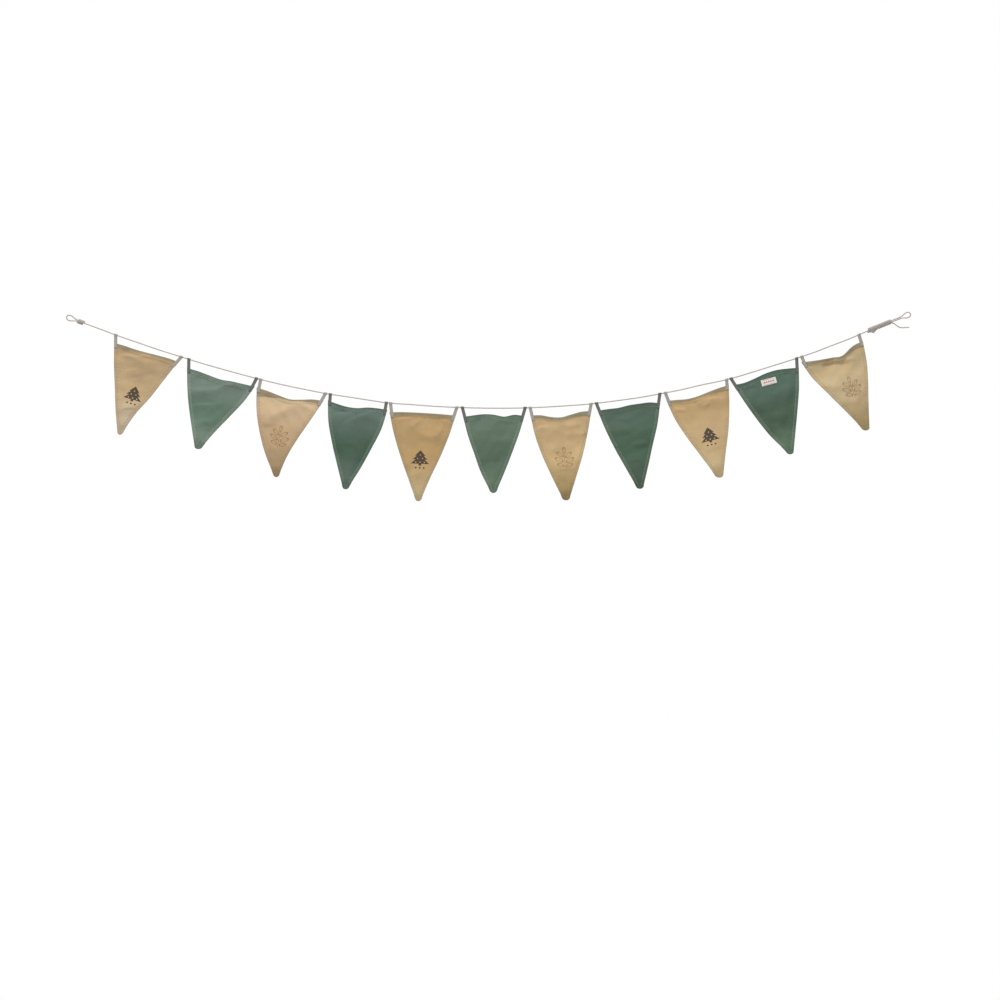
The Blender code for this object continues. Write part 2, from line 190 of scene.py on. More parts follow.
# One row for each pennant. left, right: its top corners. tip: the middle of its blunt tip.
# top_dip: how far the top edge lies below its chord at each sixth of its length.
# left_bow, right_bow: how far each side lies to the right of its chord at each quarter.
# loops: where its two loops ride on the line. billow: belly towards the viewer. swing: the tip's.
Pennant = namedtuple(
    "Pennant", "cloth left right tip tip_width top_dip left_bow right_bow loops billow swing"
)
PENNANTS = [Pennant(*row) for row in (
    ("tan", (140, -77.5), (332, -134.5), (158, -345.5), 16, (-0.5, 1, 0.5, -1, -2),
     (-3, -3, -3), (0, 0.5, -5), (144.5, 341.5), 5, 3),
    ("green", (358.5, -153), (562, -208.5), (392.5, -388.5), 23, (0.5, 4, 7, 3.5, 2),
     (-4.5, -5.5, -3), (6.5, 4, 0), (364, 567), 4, -2),
    ("tan", (567.5, -211.5), (768, -251.5), (626.5, -472.5), 17, (4, 10.5, 15.5, 10, 2.5),
     (-13, -17, -13), (-4, -9, -9), (579.5, 774), 6, 4),
    ("green", (781, -250.5), (959.5, -278.5), (834.5, -509), 19, (6, 10, 9, 2.5, 0),
     (-9, -9, -5), (11, 10.5, 7.5), (788.5, 956.5), 7, -4),
    ("tan", (966, -286), (1164.5, -295.5), (1052.5, -544.5), 18, (-2.5, -3, -3, -2.5, -1.5),
     (-6, -6.5, -3.5), (5, 5, 1), (969, 1168), 4, 2),
    ("green", (1187, -299.5), (1371, -297), (1277.5, -520), 20.5, (-4, -7, -5, 1, -4),
     (-6, -7, -7.5), (3.5, 4, 3), (1184.5, 1373), 5, 3),
    ("tan", (1389, -295.5), (1571.5, -281.5), (1495.5, -542), 22.5, (1.5, 9, 12.5, 6.5, 0.5),
     (-9.5, -11, -6.5), (5, 7, 4), (1388, 1571), 6, -3),
    ("green", (1590.5, -281), (1778, -258.5), (1717, -507.5), 22, (-1, -1, -5, -6, -6),
     (-5.5, -6.5, -3.5), (4.5, 3, 2), (1586.5, 1777), 5, 2),
    ("tan", (1797, -251.5), (1984, -204), (1955, -474), 24.5, (5, 10.5, 10, 5.5, 1.5),
     (-10.5, -10.5, -5), (5.5, 7, 3), (1793.5, 1977.5), 4, 4),
    ("green", (1998, -204), (2194, -152), (2168, -404), 21, (2, -3, -9.5, -10.5, -6),
     (-7.5, -11.5, -11.5), (4.5, 4, 2), (1990.5, 2187.5), 5, -3),
    ("tan", (2201, -136), (2386, -72), (2394, -332.5), 23.5, (7, 13, 18, 22.5, 5),
     (-9.5, -6, -1.5), (7, 6, 2.5), (2202.5, 2374.5), 6, 3),
)]

# Broad folds of the cloth. rise: height towards the viewer; reach: how far each side it fades.
Fold = namedtuple("Fold", "pennant start end rise reach")
FOLDS = [Fold(*row) for row in (
    (1, (153, -122), (288, -143), 4.5, 26),
    (1, (159, -274), (213, -265), 3, 20),
    (2, (369, -226), (495, -196), 4, 28),
    (2, (387, -325), (447, -310), 3, 20),
    (3, (579, -306), (699, -262), 4, 28),
    (3, (579, -322), (663, -310), -2, 24),
    (4, (789, -304), (915, -280), 6, 20),
    (4, (834, -408), (924, -318), -3, 32),
    (5, (984, -316), (1119, -352), 3.5, 26),
    (5, (1023, -436), (1089, -460), 3, 22),
    (6, (1203, -328), (1299, -313), 4, 20),
    (6, (1323, -322), (1293, -424), -4, 26),
    (7, (1413, -346), (1539, -322), 4, 22),
    (7, (1479, -418), (1551, -370), -4, 24),
    (8, (1605, -328), (1719, -342), 3.5, 22),
    (8, (1665, -418), (1755, -390), -4, 26),
    (9, (1845, -272), (1953, -241), 2.5, 24),
    (9, (1869, -298), (1941, -284), -2, 24),
    (10, (2025, -232), (2169, -208), 5, 24),
    (10, (2073, -304), (2169, -256), -3.5, 30),
    (11, (2235, -154), (2328, -148), -6, 20),
    (11, (2274, -222), (2385, -190), 4, 26),
)]

# Creases of the cloth, from left to right. bow: how far the middle lies above the straight run.
# rise: height towards the viewer; above, below: how fast it fades on its upper and lower side.
Crease = namedtuple("Crease", "pennant start end bow rise above below")
CREASES = [Crease(*row) for row in (
    (1, (158, -116), (212, -126), 4, 2.8, 5, 8),
    (1, (196, -126), (250, -120), 4, 1.4, 4, 7),
    (1, (196, -132), (256, -140), 3, 1.8, 8, 14),
    (1, (154, -184), (300, -156), 4, 1.9, 14, 10),
    (1, (176, -166), (214, -160), 2, 1.3, 5, 14),
    (1, (160, -276), (206, -272), 2, 1.8, 10, 4),
    (2, (362, -221), (462, -217), -2, 3.4, 7, 18),
    (2, (436, -221), (548, -217), 16, 2.6, 5, 14),
    (2, (376, -266), (444, -265), 1, 2.4, 5, 13),
    (2, (388, -318), (436, -312), 2, 1.5, 6, 10),
    (2, (404, -300), (480, -250), 4, 1, 12, 8),
    (3, (582, -319), (690, -264), 4, 2.6, 9, 14),
    (3, (674, -262), (748, -288), 9, 2.2, 5, 12),
    (3, (572, -324), (634, -319), 1, 1.5, 12, 7),
    (3, (600, -404), (666, -384), 3, 1, 12, 8),
    (4, (796, -296), (862, -294), 5, 1.8, 4, 10),
    (4, (812, -284), (842, -290), 2, -1.6, 4, 4),
    (4, (822, -330), (944, -286), 9, 3.8, 8, 24),
    (4, (806, -378), (876, -388), 3, 1.2, 12, 8),
    (5, (984, -309), (1040, -305), 2, 2.4, 3.5, 10),
    (5, (1026, -334), (1064, -304), 0, 2.8, 8, 8),
    (5, (1100, -362), (1136, -318), 0, 3, 9, 9),
    (5, (1046, -360), (1134, -362), 1, 1.6, 10, 14),
    (5, (1116, -312), (1160, -316), 2, 2.2, 4, 10),
    (5, (1026, -470), (1062, -474), 1, 1.4, 8, 10),
    (6, (1216, -342), (1292, -344), 2, 1.8, 8, 16),
    (6, (1276, -312), (1346, -318), 2, 1.5, 5, 5),
    (6, (1266, -380), (1332, -368), 2, 1.7, 10, 14),
    (6, (1236, -436), (1306, -438), 1, -1.6, 10, 10),
    (7, (1404, -338), (1448, -330), 2, 3.4, 5, 12),
    (7, (1488, -332), (1544, -322), 3, 1.6, 10, 7),
    (7, (1494, -352), (1562, -351), 1, 2, 10, 9),
    (7, (1444, -398), (1530, -386), 4, 1.2, 14, 10),
    (7, (1462, -462), (1524, -452), 3, 1.4, 14, 6),
    (8, (1612, -346), (1696, -340), 2, 1.5, 14, 10),
    (8, (1640, -306), (1700, -310), 2, 1.4, 8, 6),
    (8, (1692, -384), (1746, -380), 1, 2.2, 8, 9),
    (8, (1676, -430), (1742, -428), 2, 1, 12, 8),
    (9, (1816, -278), (1858, -281), 1, 2.2, 5, 7),
    (9, (1882, -254), (1986, -245), 2, 3.2, 7, 17),
    (9, (1878, -242), (1904, -270), 0, 1.3, 4, 6),
    (9, (1903, -271), (1928, -254), 0, 1.2, 4, 6),
    (9, (1908, -404), (1966, -388), 3, 1.3, 13, 9),
    (10, (2026, -216), (2082, -204), 3, 1.8, 8, 5),
    (10, (2148, -174), (2174, -170), 2, -1.3, 4, 4),
    (10, (2096, -224), (2182, -212), 3, 2.6, 10, 18),
    (10, (2092, -302), (2176, -292), 3, 2.4, 10, 16),
    (10, (2064, -262), (2128, -250), 3, 1.2, 12, 10),
    (11, (2262, -150), (2340, -139), 5, -3.4, 6, 10),
    (11, (2330, -134), (2366, -124), 3, 2.4, 7, 6),
    (11, (2228, -206), (2336, -212), 4, 3, 20, 13),
    (11, (2300, -266), (2378, -254), 3, 1.4, 14, 8),
)]

# Patches of noise: how many to the metre along the cloth and up it, and their seed and detail
Patches = namedtuple("Patches", "along up seed detail")
SLOW_PATCHES = Patches(16, 16, 0, 3)
WARM_PATCHES = Patches(24, 30, 11, 3)
WEFT_SLUBS = Patches(70, 1300, 3, 2)
WARP_SLUBS = Patches(1300, 70, 7, 2)
TAPE_FIBRES = Patches(900, 900, 0, 2)
TAPE_PATCHES = Patches(90, 60, 5, 2)
LABEL_FIBRES = Patches(700, 700, 0, 2)
THREAD_FIBRES = 1500
CORD_PATCHES = 30

# Fibres of the cord: how many round it, and how many to the metre along it
CORD_FIBRES = (9, 260)

# How far apart in the same noise two neighbouring pennants lie, in metres
OWN_CLOTH_SHIFT = 0.37

# Weave of the canvas, wear of its print, and painted shade between its threads, in its seams,
# at its edges, under its top hem and at its tip. A shade is how much darker or lighter
# something makes the cloth.
WEAVE_PITCH = 0.75
WEAVE_HEIGHT = 0.1
SLUB_HEIGHT = 0.16
CANVAS_SHADE = 0.555
SLUB_SHADE = 0.55
SLOW_SHADE = 0.24
# Painted shade: the weave darkens the cloth between its threads, and the seams darken it in their dips
WEAVE_SHADE = 0.14
SEAM_SHADE = 0.12
SEAM_SHADE_REACH = 1.6
# Painted shade at the very edges, in the hem tone: how far in it reaches and how strongly
EDGE_SHADE_REACH = 3.2
EDGE_SHADE_SHARE = 0.6
# Painted shade under the rolled-back top hem: how strongly the hem tone is mixed in
HEM_SHADE_SHARE = 0.88
# Along the side hems: painted shade in the hem tone on tan pennants, the lighter thread tone on green
# ones
SIDE_TONE_SHARE = {"tan": 0.16, "green": 0.1}
SIDE_TONE_SOFT = 2
# Painted shade at the tip: how strongly the tip tone is mixed in
TIP_SHADE_SHARE = 0.9
# The painted shade under the top hem: its ragged, soft lower edge and how it grows towards the corners
HEM_SHADE_RAGGED = 5
HEM_SHADE_SOFT = 1.2
HEM_SHADE_FALL = 1.5
HEM_RAGGED_SCALE = 60
HEM_RAGGED_SPOT = (0.5, 9)
MOTTLE_SHARE = 0.35
MOTTLE_SPREAD = (0.5, 0.75)
TONE_WANDER = 0.35
UPPER_TO_MIDDLE = (0.12, 0.5)
MIDDLE_TO_LOWER = (0.52, 0.9)
LOWER_TO_TIP = (0.87, 0.97)
PRINT_SOFTNESS = 0.25
PRINT_WEAR = 0.3
PRINT_KEPT = 0.8
CLOTH_SPECULAR = 0.25
CLOTH_SHEEN_ROUGHNESS = 0.5
MOTTLE_WARM = {"tan": (204, 164, 112), "green": (84, 106, 84)}

# Motifs, in millimetres from their middle. A tier is a triangle: base, top, half its width.
# A dot or a light is its centre and radius; a leaf is its centre, turn in degrees and two half sizes.
TREE_TIERS = ((-13, 12, 28), (0, 21, 22), (11, 28, 16))
TREE_TRUNK = (-18.5, -12.5, 4)
TREE_DOTS = ((-12, -25, 2.8), (0, -25, 2.8), (12, -25, 2.8))
TREE_LIGHTS = (
    (-13, -8.5, 2), (0, -8, 2), (13, -8.5, 2),
    (-7.5, 2.5, 1.9), (7, 3.5, 1.9), (0, 13.5, 1.8),
)
SPRIG_LINE = 0.75
SPRIG_VEIN = 0.45
SPRIG_STEM = (-32, 17)
SPRIG_LEAVES = (
    (0, 24.5, 90, 8.5, 4.6),
    (-12.5, 13, 142, 11, 5.2),
    (12.5, 10, 38, 11, 5.2),
    (-16, -3, 152, 12.5, 5.6),
    (16, -6, 28, 12.5, 5.6),
    (-13, -19, 160, 9.5, 4.6),
    (13, -21, 20, 9.5, 4.6),
)

# Stage, light and camera, in metres
CAMERA_DISTANCE = 14
PICTURE_WIDTH = 3
PICTURE_MIDDLE = (1.2975, -0.549)
SENSOR_WIDTH = 36
LIGHT_AIM = -0.35
Lamp = namedtuple("Lamp", "name place size energy")
LAMPS = (
    Lamp("key", (0.4, -3, 4.4), 1.8, 290),
    Lamp("fill", (3, -7, -0.5), 4, 40),
    Lamp("back", (1.9, 3.6, 3.4), 1.8, 150),
)
WORLD_STRENGTH = 0.3
FLOOR_LEVEL = -2.2
FLOOR_ACROSS = (-6, 8.6)
FLOOR_DEPTH = (-16, 1.2)
FLOOR_TONE = (236, 235, 232)

# Colours seen in daylight (red, green, blue out of 255): a pennant's upper, middle and lower cloth,
# its tip, darker as painted shade, its hem tone: painted shade under the rolled-back top hem, at its
# edges and along the side hems of tan pennants, and its thread. shade: how far down from the top edge
# the hem's painted shade reaches, at the left corner, in the middle and at the right corner
Tones = namedtuple("Tones", "upper middle lower tip hem thread shade")
PENNANT_TONES = [Tones(*row) for row in (
    ((179, 154, 119), (193, 167, 128), (197, 180, 156), (180, 163, 136), (146, 136, 112),
     (184, 166, 136), (14, 5.5, 7)),
    ((114, 129, 118), (98, 120, 105), (122, 140, 125), (94, 110, 98), (98, 116, 104),
     (172, 186, 168), (7, 3, 7)),
    ((203, 178, 144), (190, 162, 127), (166, 141, 107), (136, 114, 84), (144, 132, 108),
     (190, 168, 134), (30, 4, 13)),
    ((98, 116, 106), (72, 94, 79), (92, 111, 98), (80, 98, 86), (78, 96, 84),
     (150, 166, 148), (6, 3, 5)),
    ((179, 150, 107), (183, 152, 105), (194, 171, 130), (174, 158, 120), (144, 134, 108),
     (186, 164, 128), (13, 8.5, 12)),
    ((101, 120, 104), (87, 106, 90), (99, 120, 100), (90, 110, 92), (82, 100, 86),
     (156, 172, 152), (5, 3, 5)),
    ((189, 162, 122), (202, 174, 129), (167, 144, 97), (136, 115, 81), (138, 132, 108),
     (188, 166, 128), (10, 9, 17)),
    ((84, 104, 91), (77, 101, 83), (75, 94, 78), (66, 84, 72), (74, 93, 80),
     (146, 162, 144), (6, 3.5, 6)),
    ((190, 161, 117), (199, 171, 129), (200, 176, 135), (174, 155, 117), (148, 136, 110),
     (190, 168, 130), (11, 7, 16)),
    ((87, 108, 95), (74, 95, 78), (97, 120, 99), (88, 109, 92), (76, 95, 82),
     (156, 172, 152), (9, 4, 5)),
    ((190, 170, 132), (202, 181, 143), (166, 144, 104), (150, 136, 98), (146, 134, 108),
     (186, 166, 130), (13, 6, 17)),
)]
TAPE_TONES = {"tan": (160, 156, 147), "green": (104, 106, 101)}
TAPE_THREAD = {"tan": (188, 182, 168), "green": (90, 96, 92)}
CORD_TONE = (188, 181, 172)
LABEL_TONE = (226, 226, 220)
LABEL_RED = (176, 58, 58)
INK_DARK = (52, 48, 48)
INK_BROWN = (132, 100, 68)

# Prints, by pennant: the middle of its motif, and which motif it is
Print = namedtuple("Print", "middle motif")
PRINTS = {
    1: Print((198, -235.5), "tree"),
    3: Print((636, -360), "sprig"),
    5: Print((1058, -427.5), "tree"),
    7: Print((1491, -424.5), "sprig"),
    9: Print((1926, -358.5), "tree"),
    11: Print((2352, -212), "sprig"),
}


def linear(value):
    """Linear light of a colour value seen on screen, from 0 to 255."""
    share = value / 255
    return share / 12.92 if share <= 0.04045 else ((share + 0.055) / 1.055) ** 2.4


def seen(colour):
    """Linear colour with alpha, from one seen on screen."""
    return (*map(linear, colour), 1.0)


def smooth_step(low, high, value):
    share = np.clip((value - low) / (high - low), 0, 1)
    return share * share * (3 - 2 * share)


def fading(away, reach):
    """1 on a line, and less the further away from it."""
    return np.exp(-((away / reach) ** 2))


def unit(directions):
    return directions / np.linalg.norm(directions, axis=-1, keepdims=True)


def parts(*values):
    """Points, or other triples, from their parts."""
    return np.stack(np.broadcast_arrays(*values), axis=-1)


def at_depth(flat, y):
    """Points from places (x, z) in the plane of the row and their depth."""
    return np.insert(flat, 1, y, axis=-1)


def travelled(run):
    """How far along a run of points each of them lies."""
    return np.r_[0.0, np.cumsum(np.linalg.norm(np.diff(run, axis=0), axis=1))]


def points_at(run, places):
    """Points of a run, each so far along it."""
    far = travelled(run)
    return np.column_stack([np.interp(places, far, axis) for axis in run.T])


def resampled(run, step):
    """A run with its points about a step apart."""
    length = travelled(run)[-1]
    return points_at(run, np.linspace(0, length, max(2, round(length / step) + 1)))


def smooth_value(before, start, end, after, share):
    """Catmull-Rom value between start and end."""
    return 0.5 * (
        2 * start
        + (end - before) * share
        + (2 * before - 5 * start + 4 * end - after) * share**2
        + (3 * start - before - 3 * end + after) * share**3
    )


def wave(heights, share):
    """A smooth curve that is 0 at both ends and passes through evenly spaced heights between."""
    values = np.array((-heights[0], 0.0, *heights, 0.0, -heights[-1]))
    spans = len(heights) + 1
    span = np.clip((share * spans).astype(int), 0, spans - 1)
    return smooth_value(*(values[span + step] for step in range(4)), share * spans - span)


def smooth_route(points, step):
    """Points about a step apart on the smooth curve through the given ones."""
    knots = np.array(points, float)
    knots = np.vstack([2 * knots[0] - knots[1], knots, 2 * knots[-1] - knots[-2]])
    shares = np.linspace(0, 1, CURVE_STEPS, endpoint=False)[:, None]
    dense = [smooth_value(*knots[i : i + 4], shares) for i in range(len(knots) - 3)]
    return resampled(np.vstack([*dense, knots[-2:-1]]), step)


def beside(start, end, x, z):
    """How far along the run between two points a place lies, how far above it, and its length."""
    run_x, run_z = end[0] - start[0], end[1] - start[1]
    from_x, from_z = x - start[0], z - start[1]
    length = math.hypot(run_x, run_z)
    along = (from_x * run_x + from_z * run_z) / length
    return along, (from_z * run_x - from_x * run_z) / length, length


# Shape of the pennants


def edge_of(pennant, side):
    """A side edge's top corner, the x of its end at the tip, and its bow."""
    end_x = pennant.tip[0] + side * pennant.tip_width / 2
    if side < 0:
        return pennant.left, end_x, pennant.left_bow
    return pennant.right, end_x, pennant.right_bow


def edge_point(pennant, side, down):
    """Where a side edge runs, down from its top corner (0) to the blunt tip (1)."""
    corner, end_x, bow = edge_of(pennant, side)
    x = corner[0] + (end_x - corner[0]) * down + wave(bow, down)
    return x, corner[1] + (pennant.tip[1] - corner[1]) * down


def edge_lean(pennant, side):
    """Cosine of the angle between a side edge and the upright."""
    corner, end_x, _ = edge_of(pennant, side)
    drop = corner[1] - pennant.tip[1]
    return drop / math.hypot(drop, end_x - corner[0])


def width_at(pennant, down):
    return edge_point(pennant, 1, down)[0] - edge_point(pennant, -1, down)[0]


def drop_at(pennant, across):
    """How far the chord of the top edge lies above the tip."""
    return pennant.left[1] + (pennant.right[1] - pennant.left[1]) * across - pennant.tip[1]


def outline_point(pennant, across, down):
    """Where a point of the cloth lies in the plane of the row."""
    left_x, left_z = edge_point(pennant, -1, down)
    right_x, right_z = edge_point(pennant, 1, down)
    dip = wave(pennant.top_dip, across) * (1 - down) ** TOP_WAVE_FADE
    tip = TIP_ROUND * np.sqrt(np.maximum(0, 1 - (2 * across - 1) ** 2)) * down**TIP_ROUND_FADE
    return left_x + (right_x - left_x) * across, left_z + (right_z - left_z) * across - dip - tip


def seam_distances(pennant, across, down):
    """How far a point of the cloth lies from its nearer side edge, its top edge and its tip."""
    width, drop = width_at(pennant, down), drop_at(pennant, across)
    from_left = across * width * edge_lean(pennant, -1)
    side = np.minimum(from_left, (1 - across) * width * edge_lean(pennant, 1))
    dip = wave(pennant.top_dip, across) * (1 - (1 - down) ** TOP_WAVE_FADE)
    return side, drop * down - dip, drop * (1 - down)


def under_top(pennant, across, inset):
    """How far down the cloth, from 0 to 1, a line this far under the top edge runs."""
    return inset / (drop_at(pennant, across) - TOP_WAVE_FADE * wave(pennant.top_dip, across))


def row_shares(pennant, across_top, across_tip):
    """How far down the cloth the rows of its grid lie, from 0 to 1, at the given places across."""
    top = under_top(pennant, across_top, np.array(TOP_STEPS)[:, None])
    tip = 1 - np.array(TIP_STEPS)[:, None] / drop_at(pennant, across_tip)
    field = top[-1] + (tip[0] - top[-1]) * np.linspace(0, 1, FIELD_ROWS + 2)[1:-1, None]
    return np.vstack([top, field, tip])


def column_shares(pennant, down):
    """Where the columns of the grid lie on each row, from 0 to 1 across."""
    width = width_at(pennant, down)
    hems = []
    for side in (-1, 1):
        steps = np.array(SIDE_STEPS) / edge_lean(pennant, side)
        hems.append(steps * np.minimum(1, NARROW_HEM_SHARE * width / steps[-1]) / width)
    left, right = hems[0], 1 - hems[1][:, ::-1]
    even = np.linspace(0, 1, FIELD_COLUMNS + 2)[1:-1]
    return np.hstack([left, left[:, -1:] + (right[:, :1] - left[:, -1:]) * even, right])


def pennant_grid(pennant):
    """Where the rows and columns of the grid lie on the cloth, from 0 to 1 across and down."""
    middle = np.array([0.5])
    across = column_shares(pennant, row_shares(pennant, middle, middle))
    return across, row_shares(pennant, across[0], across[-1])


def softness(pennant, x, z, held):
    """0 where sewing holds the cloth flat, at its top corners and the label, 1 away from it."""
    spots = [(pennant.left, held.corner), (pennant.right, held.corner)]
    if pennant is PENNANTS[LABEL_PENNANT - 1]:
        spots.append((LABEL_CENTRE, held.label))
    return np.min([
        smooth_step(flat, free, np.hypot(x - spot[0], z - spot[1])) for spot, (flat, free) in spots
    ], axis=0)


def fold_rise(fold, x, z):
    """How far a fold lifts the cloth towards the viewer."""
    along, above, length = beside(fold.start, fold.end, x, z)
    away = np.hypot(above, along - np.clip(along, 0, length))
    return fold.rise * fading(away, fold.reach)


def crease_rise(crease, x, z):
    """How far a crease lifts the cloth: steeper on one side, and fading to its ends."""
    along, above, length = beside(crease.start, crease.end, x, z)
    share = np.clip(along / length, 0, 1)
    above = above - 4 * crease.bow * share * (1 - share)
    reach = np.where(above > 0, crease.above, crease.below)
    return CREASE_DEPTH * crease.rise * np.sin(np.pi * share) ** CREASE_ENDING * fading(above, reach)


def crumple(number, x, z):
    """A slight unevenness of the cloth, the sum of a few long waves of its own."""
    draw = random.Random(CRUMPLE_SEED + number)
    rise = np.zeros_like(x)
    for _ in range(CRUMPLE_WAVES):
        heading = draw.uniform(0, math.pi)
        length = draw.uniform(*CRUMPLE_LENGTH)
        height = draw.uniform(*CRUMPLE_RISE)
        phase = draw.uniform(0, 2 * math.pi)
        along = x * math.cos(heading) + z * math.sin(heading)
        rise += height * np.sin(2 * math.pi * along / length + phase)
    return rise


def pucker(number, place, wander_length, from_seam):
    """The ripples that a seam draws into the cloth beside it."""
    wander = PUCKER_WANDER * np.sin(place / wander_length)
    ripple = np.sin(2 * math.pi * place / PUCKER_PITCH + PUCKER_PHASE * number + wander)
    return PUCKER_RISE * ripple * fading(from_seam, PUCKER_REACH)


def depth(number, x, z, side, top):
    """Depth of the middle of the cloth: belly, swing of the tip, folds, creases and seams."""
    pennant = PENNANTS[number - 1]
    middle_x = (pennant.left[0] + pennant.right[0]) / 2
    middle_z = (pennant.left[1] + pennant.right[1]) / 2
    down = np.clip((middle_z - z) / (middle_z - pennant.tip[1]), 0, 1)
    centre = middle_x + (pennant.tip[0] - middle_x) * down
    half = (pennant.right[0] - middle_x) * (1 - down) + pennant.tip_width / 2 * down
    across = np.minimum(np.abs(x - centre) / half, 1)
    broad = pennant.billow * (1 - across**2) * np.sin(np.pi * down) + pennant.swing * down**2
    broad = broad + sum(fold_rise(fold, x, z) for fold in FOLDS if fold.pennant == number)
    fine = crumple(number, x, z) + TOP_ROLL * fading(top, TOP_ROLL_REACH)
    fine = fine + pucker(number, z, PUCKER_WANDER_DOWN, side - SIDE_SEAM)
    fine = fine + pucker(number, x, PUCKER_WANDER_ALONG, top - TOP_SEAM)
    creases = (crease for crease in CREASES if crease.pennant == number)
    fine = fine + sum(crease_rise(crease, x, z) for crease in creases)
    folds = broad * softness(pennant, x, z, HELD_FOLDS)
    return -folds - fine * softness(pennant, x, z, HELD_CREASES)


def cloth_at(number, across, down):
    """Points in the middle of the cloth, and how far they lie from its sides, top edge and tip."""
    pennant = PENNANTS[number - 1]
    x, z = outline_point(pennant, across, down)
    side, top, tip = seam_distances(pennant, across, down)
    return parts(x, depth(number, x, z, side, top), z), side, top, tip


def thickness(side, top, tip):
    """Thickness of the cloth: one layer, turned hems, dips along the seams, rounded edges."""
    in_field = smooth_step(SIDE_HEM - HEM_SLOPE, SIDE_HEM, side)
    hem = 1 - in_field * smooth_step(TOP_HEM - HEM_SLOPE, TOP_HEM, top)
    full = CLOTH_THICKNESS + (HEM_THICKNESS - CLOTH_THICKNESS) * hem
    side_seam = fading(side - SIDE_SEAM, SEAM_WIDTH) * (top > TOP_SEAM)
    top_seam = fading(top - TOP_SEAM, SEAM_WIDTH) * (side > SIDE_SEAM)
    rim = np.clip(np.minimum(np.minimum(side, top), tip) / HEM_ROUND, 0, 1)
    rounding = np.sqrt(1 - RIM_THINNING * (1 - rim) ** 2)
    return (full - SEAM_DIP * np.maximum(side_seam, top_seam)) * rounding


# Building meshes


def add_to_scene(name, data):
    made = bpy.data.objects.new(name, data)
    bpy.context.scene.collection.objects.link(made)
    return made


def make_piece(name, material, points, faces, attributes):
    """A smooth piece of the bunting, its points in millimetres."""
    mesh = bpy.data.meshes.new(name)
    mesh.from_pydata((points.reshape(-1, 3) * MM).tolist(), [], faces)
    for key, values in attributes.items():
        layer = mesh.attributes.new(key, "FLOAT_VECTOR", "POINT")
        layer.data.foreach_set("vector", values.astype(np.float32).ravel())
    mesh.shade_smooth()
    mesh.materials.append(material)
    piece = add_to_scene(name, mesh)
    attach(piece, "root")
    return piece


def make_sheet(name, material, points, attributes, thick, shares):
    """A sheet on a grid of points, solid about its middle; shares tell how thick it is at each."""
    spot = np.arange(shares.size).reshape(shares.shape)
    corners = [spot[1:, :-1], spot[1:, 1:], spot[:-1, 1:], spot[:-1, :-1]]
    faces = np.stack(corners, axis=-1).reshape(-1, 4).tolist()
    sheet = make_piece(name, material, points, faces, attributes)
    solid = sheet.modifiers.new("Thickness", "SOLIDIFY")
    solid.thickness = thick * MM
    solid.offset = 0
    group = sheet.vertex_groups.new(name="thickness")
    shares = np.round(shares.ravel(), 3)
    for share in np.unique(shares):
        group.add(np.flatnonzero(shares == share).tolist(), float(share), "REPLACE")
    solid.vertex_group = group.name
    return sheet


def make_pennant(number):
    """The canvas of one pennant with its hems."""
    pennant = PENNANTS[number - 1]
    across, down = pennant_grid(pennant)
    points, *distances = cloth_at(number, across, down)
    along, up, _ = beside(pennant.left, pennant.right, points[..., 0], points[..., 2])
    attributes = {"flat": parts(along * MM, up * MM, down), "seam": parts(*distances) * MM}
    shares = thickness(*distances) / HEM_THICKNESS
    return make_sheet(f"canvas_{number:02d}", canvas_material(number),
                      points, attributes, HEM_THICKNESS, shares)


def make_stitches(name, material, rows):
    """Small stitches, each longest along its seam. rows: their middles, directions and normals."""
    centres, ahead, outward = map(np.vstack, zip(*rows))
    ball = bmesh.new()
    bmesh.ops.create_icosphere(ball, subdivisions=1, radius=0.5)
    shape = np.array([corner.co for corner in ball.verts])
    faces = np.array([[corner.index for corner in face.verts] for face in ball.faces])
    ball.free()
    ahead, outward = unit(ahead), unit(outward)
    axes = np.stack([ahead, np.cross(outward, ahead), outward], axis=1)
    axes *= np.array(STITCH_SIZE)[None, :, None]
    points = centres[:, None, :] + np.einsum("vk,nkj->nvj", shape, axes)
    firsts = len(shape) * np.arange(len(centres))
    faces = (faces[None] + firsts[:, None, None]).reshape(-1, 3).tolist()
    return make_piece(name, material, points, faces, {})


def evenly_along(run, pitch):
    """Middles of stitches along a run of points, and the run's direction at each."""
    length = travelled(run)[-1]
    count = max(2, round(length / pitch))
    wanted = (np.arange(count) + 0.5) * length / count
    middles = points_at(run, wanted)
    return middles, points_at(run, wanted + NEARBY) - middles


def straight_stitches(name, material, lines, pitch, outer, faces):
    """Rows of stitches on straight lines, from (x, z) to (x, z), this far out on the given faces."""
    rows = []
    for line in lines:
        middles, ahead = evenly_along(np.array(line), pitch)
        for face in faces:
            normals = at_depth(0 * ahead, face)
            rows.append((at_depth(middles, face * outer), at_depth(ahead, 0), normals))
    return make_stitches(name, material, rows)


def cloth_normal(number, x, z, side, top):
    """Direction out of the cloth towards the viewer."""
    lean_x = depth(number, x + NEARBY, z, side, top) - depth(number, x - NEARBY, z, side, top)
    lean_z = depth(number, x, z + NEARBY, side, top) - depth(number, x, z - NEARBY, side, top)
    return unit(parts(lean_x, -2 * NEARBY, lean_z))


def seam_runs(pennant):
    """Places across and down the cloth along its two side seams and its top seam."""
    share = np.linspace(0, 1, SEAM_STEPS)
    top = under_top(pennant, share, TOP_SEAM)
    runs = []
    for side in (-1, 1):
        down = top[0 if side < 0 else -1] + (SEAM_END - top[0]) * share
        inset = SIDE_SEAM / edge_lean(pennant, side) / width_at(pennant, down)
        kept = inset < 0.5
        across = inset if side < 0 else 1 - inset
        runs.append((across[kept], down[kept]))
    inner = slice(SEAM_SKIP, -SEAM_SKIP)
    runs.append((share[inner], top[inner]))
    return runs


